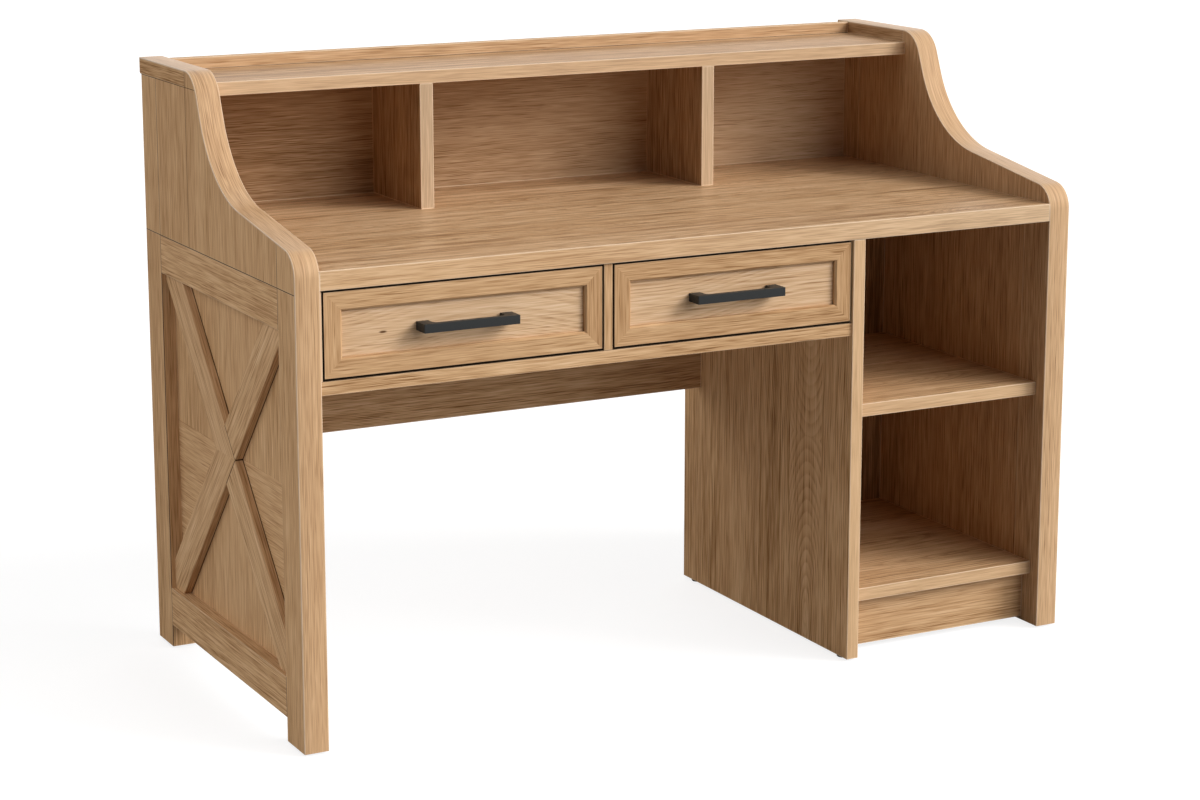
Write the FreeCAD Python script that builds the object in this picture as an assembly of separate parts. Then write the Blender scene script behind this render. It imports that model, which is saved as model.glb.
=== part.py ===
"""Student desk with a low hutch, as separate boards, drawers and runners.

Sizes are in millimetres. While it is built, X runs from the middle of the desk to its right end, Y from
the front face of the ends to the back, and Z up from the floor. Each sub-part is then moved so that the
origin is under the middle of the whole desk, and written to parts/NODE.step.
"""
import FreeCAD, Part
import math
import os

Vec = FreeCAD.Vector

# ---- Overall sizes ----
DESK_WIDTH = 1400.0  # outside face of one end to outside face of the other
END_DEPTH = 662.0  # front edge to back edge of an end
DESKTOP_TOP = 745.0  # floor to the writing surface
HUTCH_HEIGHT = 252.0  # writing surface to the top of the hutch ends
DESKTOP_THICK = 30.0
EASE = 1.0  # radius on the long visible edges of boards
SEAM_EASE = 0.6  # small bevel beside the seams of the framed ends

# ---- Framed ends ----
END_THICK = 40.0
STILE_WIDTH = 70.0
SEAM_DROP = 33.0  # writing surface to the seam between base and hutch
TOP_RAIL_HEIGHT = 64.0
BOTTOM_RAIL_HEIGHT = 65.0
BOTTOM_RAIL_LIFT = 38.0  # foot to the underside of the bottom rail
END_PANEL_THICK = 18.0  # the panel is flush with the inside face
BAND_THICK = 1.5  # edge band on the front, the sweep and the top
BAND_EASE = 1.0  # radius along both edges of the band

# ---- X-brace in the recess of each end ----
BRACE_WIDTH = 64.0
BRACE_THICK = 14.0
BRACE_TURN = 2.0  # degrees steeper than the diagonal of the recess
BRACE_RISE = 19.5  # crossing point above the middle of the recess
BRACE_SET_BACK = 3.0  # crossing point behind the middle of the recess
SCORE_WIDTH = 1.2  # line cut across the panel's outer face, level with the crossing point
SCORE_DEPTH = 0.6

# ---- Swept front edge of the hutch ends ----
NOSE_RADIUS = 42.0
ARM_HEIGHT = 25.0  # where the arm's slope would meet the front, above the desktop
ARM_SLOPE = 8.5  # degrees
SHOULDER_SLOPE = 68.0  # degrees
SHOULDER_RADIUS = 55.0
SHOULDER_STRAIGHT = 38.0  # straight run between the hollow sweep and the shoulder
FLAT_TOP_DEPTH = 210.0  # level part of the top, back edge to where it starts to round
CAP_HEIGHT = 27.0
CAP_OVERHANG = 8.0  # past the back edge of the end
CAP_HEEL_RADIUS = 3.0

# ---- Carcass ----
FRONT_INSET = 0.5  # desktop and divider behind the front face of the ends
DIVIDER_THICK = 22.0
DIVIDER_BACK_GAP = 108.5  # back edge of the ends to the back of the divider
PEDESTAL_WIDTH = 366.7  # between the divider and the right end
BACK_PLANE_GAP = 167.0  # back edge of the ends to the front of the modesty panel and pedestal back
MODESTY_THICK = 16.0
MODESTY_HEIGHT = 345.0
PEDESTAL_BACK_THICK = 12.0
SHELF_THICK = 22.0
SHELF_INSET = 24.0
BOTTOM_SHELF_TOP = 115.5
MIDDLE_SHELF_TOP = 433.5
KICK_INSET = 45.0
KICK_THICK = 15.0
KICK_GAP = 10.5  # floor to the underside of the toe kick

# ---- Drawer bay ----
DRAWER_INSET = 4.5  # drawer fronts, rail and partition behind the front face of the ends
DRAWER_RAIL_HEIGHT = 22.0
DRAWER_RAIL_DEPTH = 80.0
DRAWER_BAY_HEIGHT = 137.0  # top of the rail to the underside of the desktop
PARTITION_THICK = 15.0
PARTITION_OFFSET = 14.8  # to the right of halfway between the spacer and the divider
SPACER_THICK = 3.5
FRONT_GAP = 2.8  # all round a drawer front

# ---- Drawers ----
FRONT_THICK = 20.0
FRAME_WIDTH = 30.0
FRAME_BEVEL = 3.0
PANEL_RECESS = 8.0
PANEL_THICK = 7.0
GROOVE_DEPTH = 6.0
GROOVE_SLACK = 0.5  # between a panel's edge and the bottom of its groove
BOX_BACK_GAP = 40.5  # back of a closed drawer box to the modesty panel
BOX_HEADROOM = 19.7  # top of a drawer box to the desktop
BOX_LIFT = 9.5  # underside of a front to the underside of its box
BOX_WALL = 12.0
BOX_FLOOR_THICK = 5.0
BOX_FLOOR_LIFT = 12.0

# ---- Bar pulls ----
PULL_LENGTH = 160.0
PULL_HEIGHT = 14.0
PULL_PROJECTION = 31.0  # from the face of the drawer panel
PULL_BAR_DEPTH = 10.0
PULL_POST_WIDTH = 20.0
PULL_CROOK_RADIUS = 7.0
PULL_CORNER_RADIUS = 1.5
SCREW_DIAMETER = 4.0
SCREW_HEAD_DIAMETER = 8.5
SCREW_HEAD_HEIGHT = 2.6
SCREW_BITE = 14.0  # length inside a post
SCREW_HOLE_SLACK = 0.25  # radial, where a screw passes through the panel
THREAD_SLACK = 0.1  # radial, inside a post

# ---- Ball-bearing runners ----
RUNNER_SPACE = 12.7  # drawer side to carcass
RUNNER_BACK_GAP = 24.5  # back of the runners to the back of the drawer box
RUNNER_HEIGHT = 42.0
RUNNER_WALL = 1.2
RUNNER_CLEARANCE = 0.3  # between members that slide in one another
RUNNER_END_GAP = 0.5  # between a member's lips and the next member's web
RUNNER_START = 5.5  # back of the drawer front to the runner

# ---- Hutch ----
HUTCH_SHELF_DROP = 21.0  # top of the ends to the top of the shelf
HUTCH_DEPTH = 218.0  # back edge of the ends to the front of the shelf and dividers
HUTCH_DIVIDER_THICK = 24.0
LEFT_CUBBY_WIDTH = 363.5
RIGHT_CUBBY_WIDTH = 396.5
HUTCH_BACK_SET_IN = 9.0  # back edge of the ends to the back of the shelf and desktop
HUTCH_BACK_THICK = 10.0
GALLERY_SET_IN = 12.0  # back edge of the ends to the back of the gallery rail
GALLERY_THICK = 16.0
GALLERY_DROP = 1.5  # top of the gallery below the top of the ends

# ---- Glides ----
GLIDE_DIAMETER = 20.0
GLIDE_HEIGHT = 4.0
GLIDE_BEVEL = 1.0
DIVIDER_GLIDE_INSET = 30.0  # centre of a glide from the front or back edge of the divider

PLANE_TOLERANCE = 0.001  # for telling which edges lie on a plane

# ---- Worked out from the sizes above ----
OUTSIDE = DESK_WIDTH / 2
INSIDE = OUTSIDE - END_THICK
FOOT = GLIDE_HEIGHT
END_TOP = DESKTOP_TOP + HUTCH_HEIGHT
BASE_TOP = DESKTOP_TOP - SEAM_DROP
BACK_STILE = END_DEPTH - STILE_WIDTH
CAP_BACK = END_DEPTH + CAP_OVERHANG
FLAT_TOP_START = END_DEPTH - FLAT_TOP_DEPTH
CAP_BOTTOM = END_TOP - CAP_HEIGHT
BOTTOM_RAIL_BOTTOM = FOOT + BOTTOM_RAIL_LIFT
RECESS_BOTTOM = BOTTOM_RAIL_BOTTOM + BOTTOM_RAIL_HEIGHT
RECESS_TOP = BASE_TOP - TOP_RAIL_HEIGHT
PANEL_FACE = INSIDE + END_PANEL_THICK  # outer face of an end panel, on the right end
CROSSING_Y = (STILE_WIDTH + BACK_STILE) / 2 + BRACE_SET_BACK
CROSSING_Z = (RECESS_BOTTOM + RECESS_TOP) / 2 + BRACE_RISE
DESKTOP_BOTTOM = DESKTOP_TOP - DESKTOP_THICK
DIVIDER_RIGHT = INSIDE - PEDESTAL_WIDTH
DIVIDER_LEFT = DIVIDER_RIGHT - DIVIDER_THICK
DIVIDER_BACK = END_DEPTH - DIVIDER_BACK_GAP
BACK_PLANE = END_DEPTH - BACK_PLANE_GAP
BAY_BOTTOM = DESKTOP_BOTTOM - DRAWER_BAY_HEIGHT
SPACER_FACE = SPACER_THICK - INSIDE
PARTITION_MIDDLE = (SPACER_FACE + DIVIDER_LEFT) / 2 + PARTITION_OFFSET
PARTITION_LEFT = PARTITION_MIDDLE - PARTITION_THICK / 2
PARTITION_RIGHT = PARTITION_MIDDLE + PARTITION_THICK / 2
DRAWER_BAYS = {
    "left": (SPACER_FACE, PARTITION_LEFT),
    "right": (PARTITION_RIGHT, DIVIDER_LEFT),
}
FRONT_BOTTOM = BAY_BOTTOM + FRONT_GAP
FRONT_HEIGHT = DRAWER_BAY_HEIGHT - 2 * FRONT_GAP
FRONT_MIDDLE = FRONT_BOTTOM + FRONT_HEIGHT / 2
PANEL_FRONT = DRAWER_INSET + PANEL_RECESS
PANEL_BACK = PANEL_FRONT + PANEL_THICK
BOX_FRONT = DRAWER_INSET + FRONT_THICK
BOX_BACK = BACK_PLANE - BOX_BACK_GAP
BOX_BOTTOM = FRONT_BOTTOM + BOX_LIFT
BOX_TOP = DESKTOP_BOTTOM - BOX_HEADROOM
FLOOR_BOTTOM = BOX_BOTTOM + BOX_FLOOR_LIFT
FLOOR_TOP = FLOOR_BOTTOM + BOX_FLOOR_THICK
RUNNER_MIDDLE = (BOX_BOTTOM + BOX_TOP) / 2
RUNNER_FRONT = BOX_FRONT + RUNNER_START
RUNNER_LENGTH = BOX_BACK - RUNNER_BACK_GAP - RUNNER_FRONT
HUTCH_SHELF_TOP = END_TOP - HUTCH_SHELF_DROP
HUTCH_SHELF_BOTTOM = HUTCH_SHELF_TOP - SHELF_THICK
HUTCH_FRONT = END_DEPTH - HUTCH_DEPTH
HUTCH_BACK = END_DEPTH - HUTCH_BACK_SET_IN
HUTCH_BACK_FACE = HUTCH_BACK - HUTCH_BACK_THICK
GALLERY_BACK = END_DEPTH - GALLERY_SET_IN
GALLERY_FACE = GALLERY_BACK - GALLERY_THICK
HUTCH_DIVIDERS = (
    (LEFT_CUBBY_WIDTH - INSIDE, LEFT_CUBBY_WIDTH + HUTCH_DIVIDER_THICK - INSIDE),
    (INSIDE - RIGHT_CUBBY_WIDTH - HUTCH_DIVIDER_THICK, INSIDE - RIGHT_CUBBY_WIDTH),
)
PULL_FRONT = PANEL_FRONT - PULL_PROJECTION
MIDDLE_OF_DEPTH = (PULL_FRONT + CAP_BACK) / 2


# ---- Shapes that many pieces share ----
def board(x_span, y_span, z_span):
    """A square-edged board between two values on each axis."""
    size = [high - low for low, high in (x_span, y_span, z_span)]
    return Part.makeBox(*size, Vec(x_span[0], y_span[0], z_span[0]))


def rounded_face(corners, radii):
    """A flat face through the corners in order, each rounded to its radius (0 leaves it sharp)."""
    starts = []
    ends = []
    rounds = []
    for index, corner in enumerate(corners):
        radius = radii[index]
        to_last = (corners[index - 1] - corner).normalize()
        to_next = (corners[(index + 1) % len(corners)] - corner).normalize()
        half_angle = to_last.getAngle(to_next) / 2
        run = radius / math.tan(half_angle)
        starts.append(corner + to_last * run)
        ends.append(corner + to_next * run)
        middle = corner + (to_last + to_next).normalize() * (radius / math.sin(half_angle) - radius)
        rounds.append(middle if radius > 0 else None)
    edges = []
    for index in range(len(corners)):
        if rounds[index] is not None:
            edges.append(Part.Arc(starts[index], rounds[index], ends[index]).toShape())
        edges.append(Part.makeLine(ends[index], starts[(index + 1) % len(corners)]))
    return Part.Face(Part.Wire(edges))


def across(x_span, outline, radii):
    """A prism along X: the outline is a list of (y, z) corners, rounded to the radii."""
    corners = [Vec(x_span[0], y, z) for y, z in outline]
    return rounded_face(corners, radii).extrude(Vec(x_span[1] - x_span[0], 0, 0))


def upright(z_span, outline, radii):
    """A prism along Z: the outline is a list of (x, y) corners, rounded to the radii."""
    corners = [Vec(x, y, z_span[0]) for x, y in outline]
    return rounded_face(corners, radii).extrude(Vec(0, 0, z_span[1] - z_span[0]))


def shelf_board(x_span, y_span, z_span):
    """A level board whose two long front edges are eased."""
    front, back = y_span
    bottom, top = z_span
    outline = [(front, bottom), (front, top), (back, top), (back, bottom)]
    return across(x_span, outline, [EASE, EASE, 0, 0])


def rail_on_edge(x_span, y_span, z_span):
    """A board standing on its long edge, with the two edges along its top eased."""
    front, back = y_span
    bottom, top = z_span
    outline = [(front, bottom), (front, top), (back, top), (back, bottom)]
    return across(x_span, outline, [0, EASE, EASE, 0])


def standing_board(x_span, y_span, z_span):
    """An upright board whose two long front edges are eased."""
    left, right = x_span
    front, back = y_span
    outline = [(left, front), (right, front), (right, back), (left, back)]
    return upright(z_span, outline, [EASE, EASE, 0, 0])


def rod(diameter, y_span, x, z):
    """A round bar along Y."""
    return Part.makeCylinder(diameter / 2, y_span[1] - y_span[0], Vec(x, y_span[0], z), Vec(0, 1, 0))


def mirrored(shape):
    """The same piece on the other side of the desk."""
    return shape.mirror(Vec(0, 0, 0), Vec(1, 0, 0))


# ---- Framed ends, built as the right end ----
def on_plane(edge, axis, value):
    """Whether both ends of an edge have the value on the axis (0 for X, 1 for Y, 2 for Z)."""
    return all(abs(vertex.Point[axis] - value) < PLANE_TOLERANCE for vertex in edge.Vertexes)


def eased(shape, faces, planes, size=SEAM_EASE):
    """Bevels the edges that lie on a side face (an X) and on one of the planes (an axis and its value)."""
    edges = [
        edge
        for edge in shape.Edges
        if any(on_plane(edge, 0, x) for x in faces) and any(on_plane(edge, *plane) for plane in planes)
    ]
    return shape.makeChamfer(size, edges)


def end_blank(inset):
    """The side outline of a whole end, its front, sweep and top moved in by inset, at full thickness.

    Three straight runs (front, arm slope, shoulder slope) and the level top meet in three rounds. The
    hollow sweep takes up what the shoulder slope leaves beside its straight run and the shoulder's round.
    """
    arm = math.radians(ARM_SLOPE)
    shoulder = math.radians(SHOULDER_SLOPE)
    arm_at_front = DESKTOP_TOP + ARM_HEIGHT
    shoulder_run = SHOULDER_RADIUS * math.tan(shoulder / 2)
    shoulder_at_top = FLAT_TOP_START - shoulder_run
    drop = shoulder_at_top * math.tan(shoulder) - END_TOP + arm_at_front
    hollow_y = drop / (math.tan(shoulder) - math.tan(arm))
    slope_length = (shoulder_at_top - hollow_y) / math.cos(shoulder)
    half_turn = (shoulder - arm) / 2
    sweep_radius = (slope_length - SHOULDER_STRAIGHT - shoulder_run) / math.tan(half_turn)

    hollow_z = arm_at_front + hollow_y * math.tan(arm)
    shift = inset / math.cos(half_turn)
    middle_slope = arm + half_turn
    outline = [
        (inset, FOOT),
        (inset, arm_at_front + inset * math.tan(arm) - inset / math.cos(arm)),
        (hollow_y + shift * math.sin(middle_slope), hollow_z - shift * math.cos(middle_slope)),
        (shoulder_at_top + inset * math.tan(shoulder / 2), END_TOP - inset),
        (CAP_BACK, END_TOP - inset),
        (CAP_BACK, FOOT),
    ]
    radii = [0, NOSE_RADIUS - inset, sweep_radius + inset, SHOULDER_RADIUS - inset, 0, 0]
    return across((INSIDE, OUTSIDE), outline, radii)


def edge_band():
    """The thin strip over the front edge, the sweep and the top of an end, with both its edges rounded."""
    strip = end_blank(0).cut(end_blank(BAND_THICK))
    core = end_blank(BAND_THICK / 2)
    edges = [
        edge
        for edge in strip.Edges
        if (on_plane(edge, 0, INSIDE) or on_plane(edge, 0, OUTSIDE))
        and edge.Length > BAND_THICK + PLANE_TOLERANCE
        and not core.isInside(edge.valueAt(edge.FirstParameter), PLANE_TOLERANCE, True)
    ]
    return strip.makeFillet(BAND_EASE, edges)


def score(y_span):
    """The room of the V-shaped line in the outer face of an end panel."""
    corners = [
        Vec(PANEL_FACE, y_span[0], CROSSING_Z - SCORE_WIDTH / 2),
        Vec(PANEL_FACE, y_span[0], CROSSING_Z + SCORE_WIDTH / 2),
        Vec(PANEL_FACE - SCORE_DEPTH, y_span[0], CROSSING_Z),
    ]
    return rounded_face(corners, [0] * len(corners)).extrude(Vec(0, y_span[1] - y_span[0], 0))


def base_frame():
    """Stiles, rails and the panel of the lower part of an end."""
    full = (INSIDE, OUTSIDE)
    rail = (PANEL_FACE, OUTSIDE)
    between = (STILE_WIDTH, BACK_STILE)
    front_seam = (1, STILE_WIDTH)
    back_seam = (1, BACK_STILE)
    hutch_seam = (2, BASE_TOP)
    front_stile = board(full, (BAND_THICK, STILE_WIDTH), (FOOT, BASE_TOP))
    back_stile = board(full, (BACK_STILE, END_DEPTH), (FOOT, BASE_TOP))
    top_rail = board(rail, between, (RECESS_TOP, BASE_TOP))
    bottom_rail = board(rail, between, (BOTTOM_RAIL_BOTTOM, RECESS_BOTTOM))
    panel = board((INSIDE, PANEL_FACE), between, (BOTTOM_RAIL_BOTTOM, BASE_TOP)).cut(score(between))
    rail_seams = [front_seam, back_seam]
    bottom_edges = [(2, BOTTOM_RAIL_BOTTOM), (2, RECESS_BOTTOM)]
    return {
        "front_stile": eased(front_stile, full, [front_seam, hutch_seam]),
        "back_stile": eased(back_stile, full, [back_seam, hutch_seam, (1, END_DEPTH)]),
        "top_rail": eased(top_rail, [OUTSIDE], [*rail_seams, hutch_seam, (2, RECESS_TOP)]),
        "bottom_rail": eased(bottom_rail, [OUTSIDE], rail_seams + bottom_edges),
        "end_panel": eased(panel, [INSIDE], [*rail_seams, hutch_seam]),
    }


def brace_arms():
    """The four arms of the X: the back pair meets in a mitre, the front pair butts against it."""
    diagonal = math.atan((RECESS_TOP - RECESS_BOTTOM) / (BACK_STILE - STILE_WIDTH))
    angle = math.degrees(diagonal) + BRACE_TURN
    centre = Vec(PANEL_FACE, CROSSING_Y, CROSSING_Z)
    face = (PANEL_FACE, PANEL_FACE + BRACE_THICK)
    recess_y = (STILE_WIDTH, BACK_STILE)
    upper = board(face, recess_y, (CROSSING_Z, RECESS_TOP))
    lower = board(face, recess_y, (RECESS_BOTTOM, CROSSING_Z))
    reach = END_DEPTH + BASE_TOP
    width = (CROSSING_Z - BRACE_WIDTH / 2, CROSSING_Z + BRACE_WIDTH / 2)
    square = board(face, (CROSSING_Y - reach, CROSSING_Y + reach), width)
    bevelled = eased(square, [face[1]], [(2, z) for z in width], EASE)

    def turned_strip(strip, turn):
        """A strip turned about the crossing point."""
        copy = strip.copy()
        copy.rotate(centre, Vec(1, 0, 0), turn)
        return copy

    rising = turned_strip(bevelled, angle)
    falling = turned_strip(bevelled, -angle)
    back_arms = [rising.common(upper), falling.common(lower)]
    front_arms = [
        falling.common(upper).cut(turned_strip(square, angle)),
        rising.common(lower).cut(turned_strip(square, -angle)),
    ]
    return {"brace_back_arms": back_arms, "brace_front_arms": front_arms}


def hutch_end():
    """The upper part of an end: two stiles, the swept panel between them and the cap rail."""
    full = (INSIDE, OUTSIDE)
    blank = end_blank(BAND_THICK)
    cap_outline = [
        (FLAT_TOP_START, CAP_BOTTOM),
        (FLAT_TOP_START, END_TOP),
        (CAP_BACK, END_TOP),
        (CAP_BACK, CAP_BOTTOM),
    ]
    cap = across(full, cap_outline, [0, 0, 0, CAP_HEEL_RADIUS])
    front_stile = blank.common(board(full, (0, STILE_WIDTH), (BASE_TOP, END_TOP)))
    back_stile = board(full, (BACK_STILE, END_DEPTH), (BASE_TOP, CAP_BOTTOM))
    panel = blank.common(board(full, (STILE_WIDTH, BACK_STILE), (BASE_TOP, END_TOP))).cut(cap)
    base_seam = (2, BASE_TOP)
    front_seam = (1, STILE_WIDTH)
    back_seam = (1, BACK_STILE)
    cap_seams = [(2, CAP_BOTTOM), (1, FLAT_TOP_START)]
    return {
        "hutch_front_stile": eased(front_stile, full, [base_seam, front_seam]),
        "hutch_back_stile": eased(back_stile, full, [base_seam, back_seam, (1, END_DEPTH)]),
        "hutch_end_panel": eased(panel, full, [base_seam, front_seam, back_seam, *cap_seams]),
        "hutch_cap": eased(blank.common(cap), full, cap_seams),
    }


def ends():
    """Every piece of both ends."""
    pieces = {**base_frame(), **brace_arms(), **hutch_end(), "edge_band": edge_band()}
    nodes = {}
    for name, shape in pieces.items():
        solids = shape if isinstance(shape, list) else [shape]
        nodes["right_" + name] = solids
        nodes["left_" + name] = [mirrored(solid) for solid in solids]
    return nodes


# ---- Carcass between the ends ----
def carcass():
    """The desktop, the pedestal with its shelves, and the boards around the drawers."""
    divider = (DIVIDER_LEFT, DIVIDER_RIGHT)
    pedestal = (DIVIDER_RIGHT, INSIDE)
    kneehole = (-INSIDE, DIVIDER_LEFT)
    shelf_depth = (SHELF_INSET, BACK_PLANE)
    bay_depth = (DRAWER_INSET, BACK_PLANE)
    bay_height = (BAY_BOTTOM, DESKTOP_BOTTOM)
    desktop_depth = (FRONT_INSET, HUTCH_BACK)
    back_depth = (BACK_PLANE, BACK_PLANE + PEDESTAL_BACK_THICK)
    bottom_shelf_bottom = BOTTOM_SHELF_TOP - SHELF_THICK
    middle_shelf = (MIDDLE_SHELF_TOP - SHELF_THICK, MIDDLE_SHELF_TOP)
    modesty = (DESKTOP_BOTTOM - MODESTY_HEIGHT, DESKTOP_BOTTOM)
    rail_depth = (DRAWER_INSET, DRAWER_INSET + DRAWER_RAIL_DEPTH)
    return {
        "desktop": shelf_board((-INSIDE, INSIDE), desktop_depth, (DESKTOP_BOTTOM, DESKTOP_TOP)),
        "pedestal_divider": standing_board(divider, (FRONT_INSET, DIVIDER_BACK), (FOOT, DESKTOP_BOTTOM)),
        "pedestal_back": board(pedestal, back_depth, (bottom_shelf_bottom, DESKTOP_BOTTOM)),
        "middle_shelf": shelf_board(pedestal, shelf_depth, middle_shelf),
        "bottom_shelf": shelf_board(pedestal, shelf_depth, (bottom_shelf_bottom, BOTTOM_SHELF_TOP)),
        "toe_kick": board(pedestal, (KICK_INSET, KICK_INSET + KICK_THICK), (KICK_GAP, bottom_shelf_bottom)),
        "modesty_panel": board(kneehole, (BACK_PLANE, BACK_PLANE + MODESTY_THICK), modesty),
        "drawer_rail": shelf_board(kneehole, rail_depth, (BAY_BOTTOM - DRAWER_RAIL_HEIGHT, BAY_BOTTOM)),
        "drawer_partition": standing_board((PARTITION_LEFT, PARTITION_RIGHT), bay_depth, bay_height),
        "runner_spacer": board((-INSIDE, SPACER_FACE), bay_depth, bay_height),
    }


def hutch():
    """The shelf, its gallery, the two dividers and the back of the hutch."""
    width = (-INSIDE, INSIDE)
    under_shelf = (DESKTOP_TOP, HUTCH_SHELF_BOTTOM)
    shelf_height = (HUTCH_SHELF_BOTTOM, HUTCH_SHELF_TOP)
    gallery_height = (HUTCH_SHELF_TOP, END_TOP - GALLERY_DROP)
    divider_depth = (HUTCH_FRONT, HUTCH_BACK_FACE)
    return {
        "hutch_shelf": shelf_board(width, (HUTCH_FRONT, HUTCH_BACK), shelf_height),
        "hutch_dividers": [standing_board(span, divider_depth, under_shelf) for span in HUTCH_DIVIDERS],
        "hutch_back": board(width, (HUTCH_BACK_FACE, HUTCH_BACK), under_shelf),
        "gallery_rail": rail_on_edge(width, (GALLERY_FACE, GALLERY_BACK), gallery_height),
    }


# ---- Drawers ----
def frame_member(length, centre_x, drop):
    """One mitred member of a drawer front, lying along X with its outer edge drop below the middle.

    Its section has a bevel on the inner front edge and a groove for the panel.
    """
    inner = FRAME_WIDTH
    section = [
        (DRAWER_INSET, 0),
        (DRAWER_INSET, inner - FRAME_BEVEL),
        (DRAWER_INSET + FRAME_BEVEL, inner),
        (PANEL_FRONT, inner),
        (PANEL_FRONT, inner - GROOVE_DEPTH),
        (PANEL_BACK, inner - GROOVE_DEPTH),
        (PANEL_BACK, inner),
        (BOX_FRONT, inner),
        (BOX_FRONT, 0),
    ]
    outer_z = FRONT_MIDDLE - drop
    outline = [(y, outer_z + z) for y, z in section]
    radii = [EASE] + [0] * (len(section) - 1)
    left = centre_x - length / 2
    right = centre_x + length / 2
    bar = across((left, right), outline, radii)
    corners = [
        Vec(left, DRAWER_INSET, outer_z),
        Vec(right, DRAWER_INSET, outer_z),
        Vec(right - inner, DRAWER_INSET, outer_z + inner),
        Vec(left + inner, DRAWER_INSET, outer_z + inner),
    ]
    mitred_room = rounded_face(corners, [0] * len(corners)).extrude(Vec(0, FRONT_THICK, 0))
    return bar.common(mitred_room)


def turned(shape, centre_x, angle):
    """The shape turned about the Y axis through the middle of a drawer front."""
    copy = shape.copy()
    copy.rotate(Vec(centre_x, 0, FRONT_MIDDLE), Vec(0, 1, 0), angle)
    return copy


def pull_screw_places(centre_x):
    """The X of both screws of a pull: the middles of its posts."""
    reach = (PULL_LENGTH - PULL_POST_WIDTH) / 2
    return [centre_x - reach, centre_x + reach]


def bar_pull(centre_x):
    """A square bar on two posts, with a curved crook inside each bend and a blind hole in each post."""
    end = PULL_LENGTH / 2
    post = end - PULL_POST_WIDTH
    bar_back = PULL_FRONT + PULL_BAR_DEPTH
    outline = [
        (-end, PULL_FRONT),
        (end, PULL_FRONT),
        (end, PANEL_FRONT),
        (post, PANEL_FRONT),
        (post, bar_back),
        (-post, bar_back),
        (-post, PANEL_FRONT),
        (-end, PANEL_FRONT),
    ]
    corner = PULL_CORNER_RADIUS
    crook = PULL_CROOK_RADIUS
    radii = [corner, corner, 0, 0, crook, crook, 0, 0]
    height = (FRONT_MIDDLE - PULL_HEIGHT / 2, FRONT_MIDDLE + PULL_HEIGHT / 2)
    pull = upright(height, [(centre_x + x, y) for x, y in outline], radii)
    hole = (PANEL_FRONT - SCREW_BITE - THREAD_SLACK, PANEL_FRONT)
    for x in pull_screw_places(centre_x):
        pull = pull.cut(rod(SCREW_DIAMETER + 2 * THREAD_SLACK, hole, x, FRONT_MIDDLE))
    return pull


def pull_screws(centre_x):
    """Pan-head screws that hold the pull from inside the drawer."""
    screws = []
    for x in pull_screw_places(centre_x):
        shank = rod(SCREW_DIAMETER, (PANEL_FRONT - SCREW_BITE, PANEL_BACK), x, FRONT_MIDDLE)
        head = rod(SCREW_HEAD_DIAMETER, (PANEL_BACK, PANEL_BACK + SCREW_HEAD_HEIGHT), x, FRONT_MIDDLE)
        screws.append(shank.fuse(head))
    return screws


def drawer_front(bay):
    """The mitred frame and the recessed panel of one drawer front."""
    width = bay[1] - bay[0] - 2 * FRONT_GAP
    centre_x = (bay[0] + bay[1]) / 2
    rail = frame_member(width, centre_x, FRONT_HEIGHT / 2)
    stile = frame_member(FRONT_HEIGHT, centre_x, width / 2)
    edge = FRAME_WIDTH - GROOVE_DEPTH + GROOVE_SLACK
    panel = board(
        (centre_x - width / 2 + edge, centre_x + width / 2 - edge),
        (PANEL_FRONT, PANEL_BACK),
        (FRONT_BOTTOM + edge, FRONT_BOTTOM + FRONT_HEIGHT - edge),
    )
    for x in pull_screw_places(centre_x):
        hole = SCREW_DIAMETER + 2 * SCREW_HOLE_SLACK
        panel = panel.cut(rod(hole, (PANEL_FRONT, PANEL_BACK), x, FRONT_MIDDLE))
    return {
        "front_rails": [rail, turned(rail, centre_x, 180)],
        "front_stiles": [turned(stile, centre_x, 90), turned(stile, centre_x, -90)],
        "front_panel": panel,
        "pull": bar_pull(centre_x),
        "pull_screws": pull_screws(centre_x),
    }


def drawer_box(bay):
    """The sides, back and grooved-in floor of one drawer."""
    left = bay[0] + RUNNER_SPACE
    right = bay[1] - RUNNER_SPACE
    inner_left = left + BOX_WALL
    inner_right = right - BOX_WALL
    length = (BOX_FRONT, BOX_BACK)
    floor_height = (FLOOR_BOTTOM, FLOOR_TOP)
    groove = board((inner_left - GROOVE_DEPTH, inner_right + GROOVE_DEPTH), length, floor_height)
    sides = [
        board((left, inner_left), length, (BOX_BOTTOM, BOX_TOP)).cut(groove),
        board((inner_right, right), length, (BOX_BOTTOM, BOX_TOP)).cut(groove),
    ]
    reach = GROOVE_DEPTH - GROOVE_SLACK
    return {
        "sides": sides,
        "box_back": board((inner_left, inner_right), (BOX_BACK - BOX_WALL, BOX_BACK), (FLOOR_TOP, BOX_TOP)),
        "box_floor": board((inner_left - reach, inner_right + reach), length, floor_height),
    }


# ---- Runners ----
def channel(web_x, lip_x, height):
    """A thin U-channel along Y with its web at web_x and its lips reaching to lip_x."""
    inward = RUNNER_WALL if lip_x > web_x else -RUNNER_WALL
    low = RUNNER_MIDDLE - height / 2
    high = RUNNER_MIDDLE + height / 2
    section = [
        (web_x, low),
        (lip_x, low),
        (lip_x, low + RUNNER_WALL),
        (web_x + inward, low + RUNNER_WALL),
        (web_x + inward, high - RUNNER_WALL),
        (lip_x, high - RUNNER_WALL),
        (lip_x, high),
        (web_x, high),
    ]
    corners = [Vec(x, RUNNER_FRONT, z) for x, z in section]
    return rounded_face(corners, [0] * len(corners)).extrude(Vec(0, RUNNER_LENGTH, 0))


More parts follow.
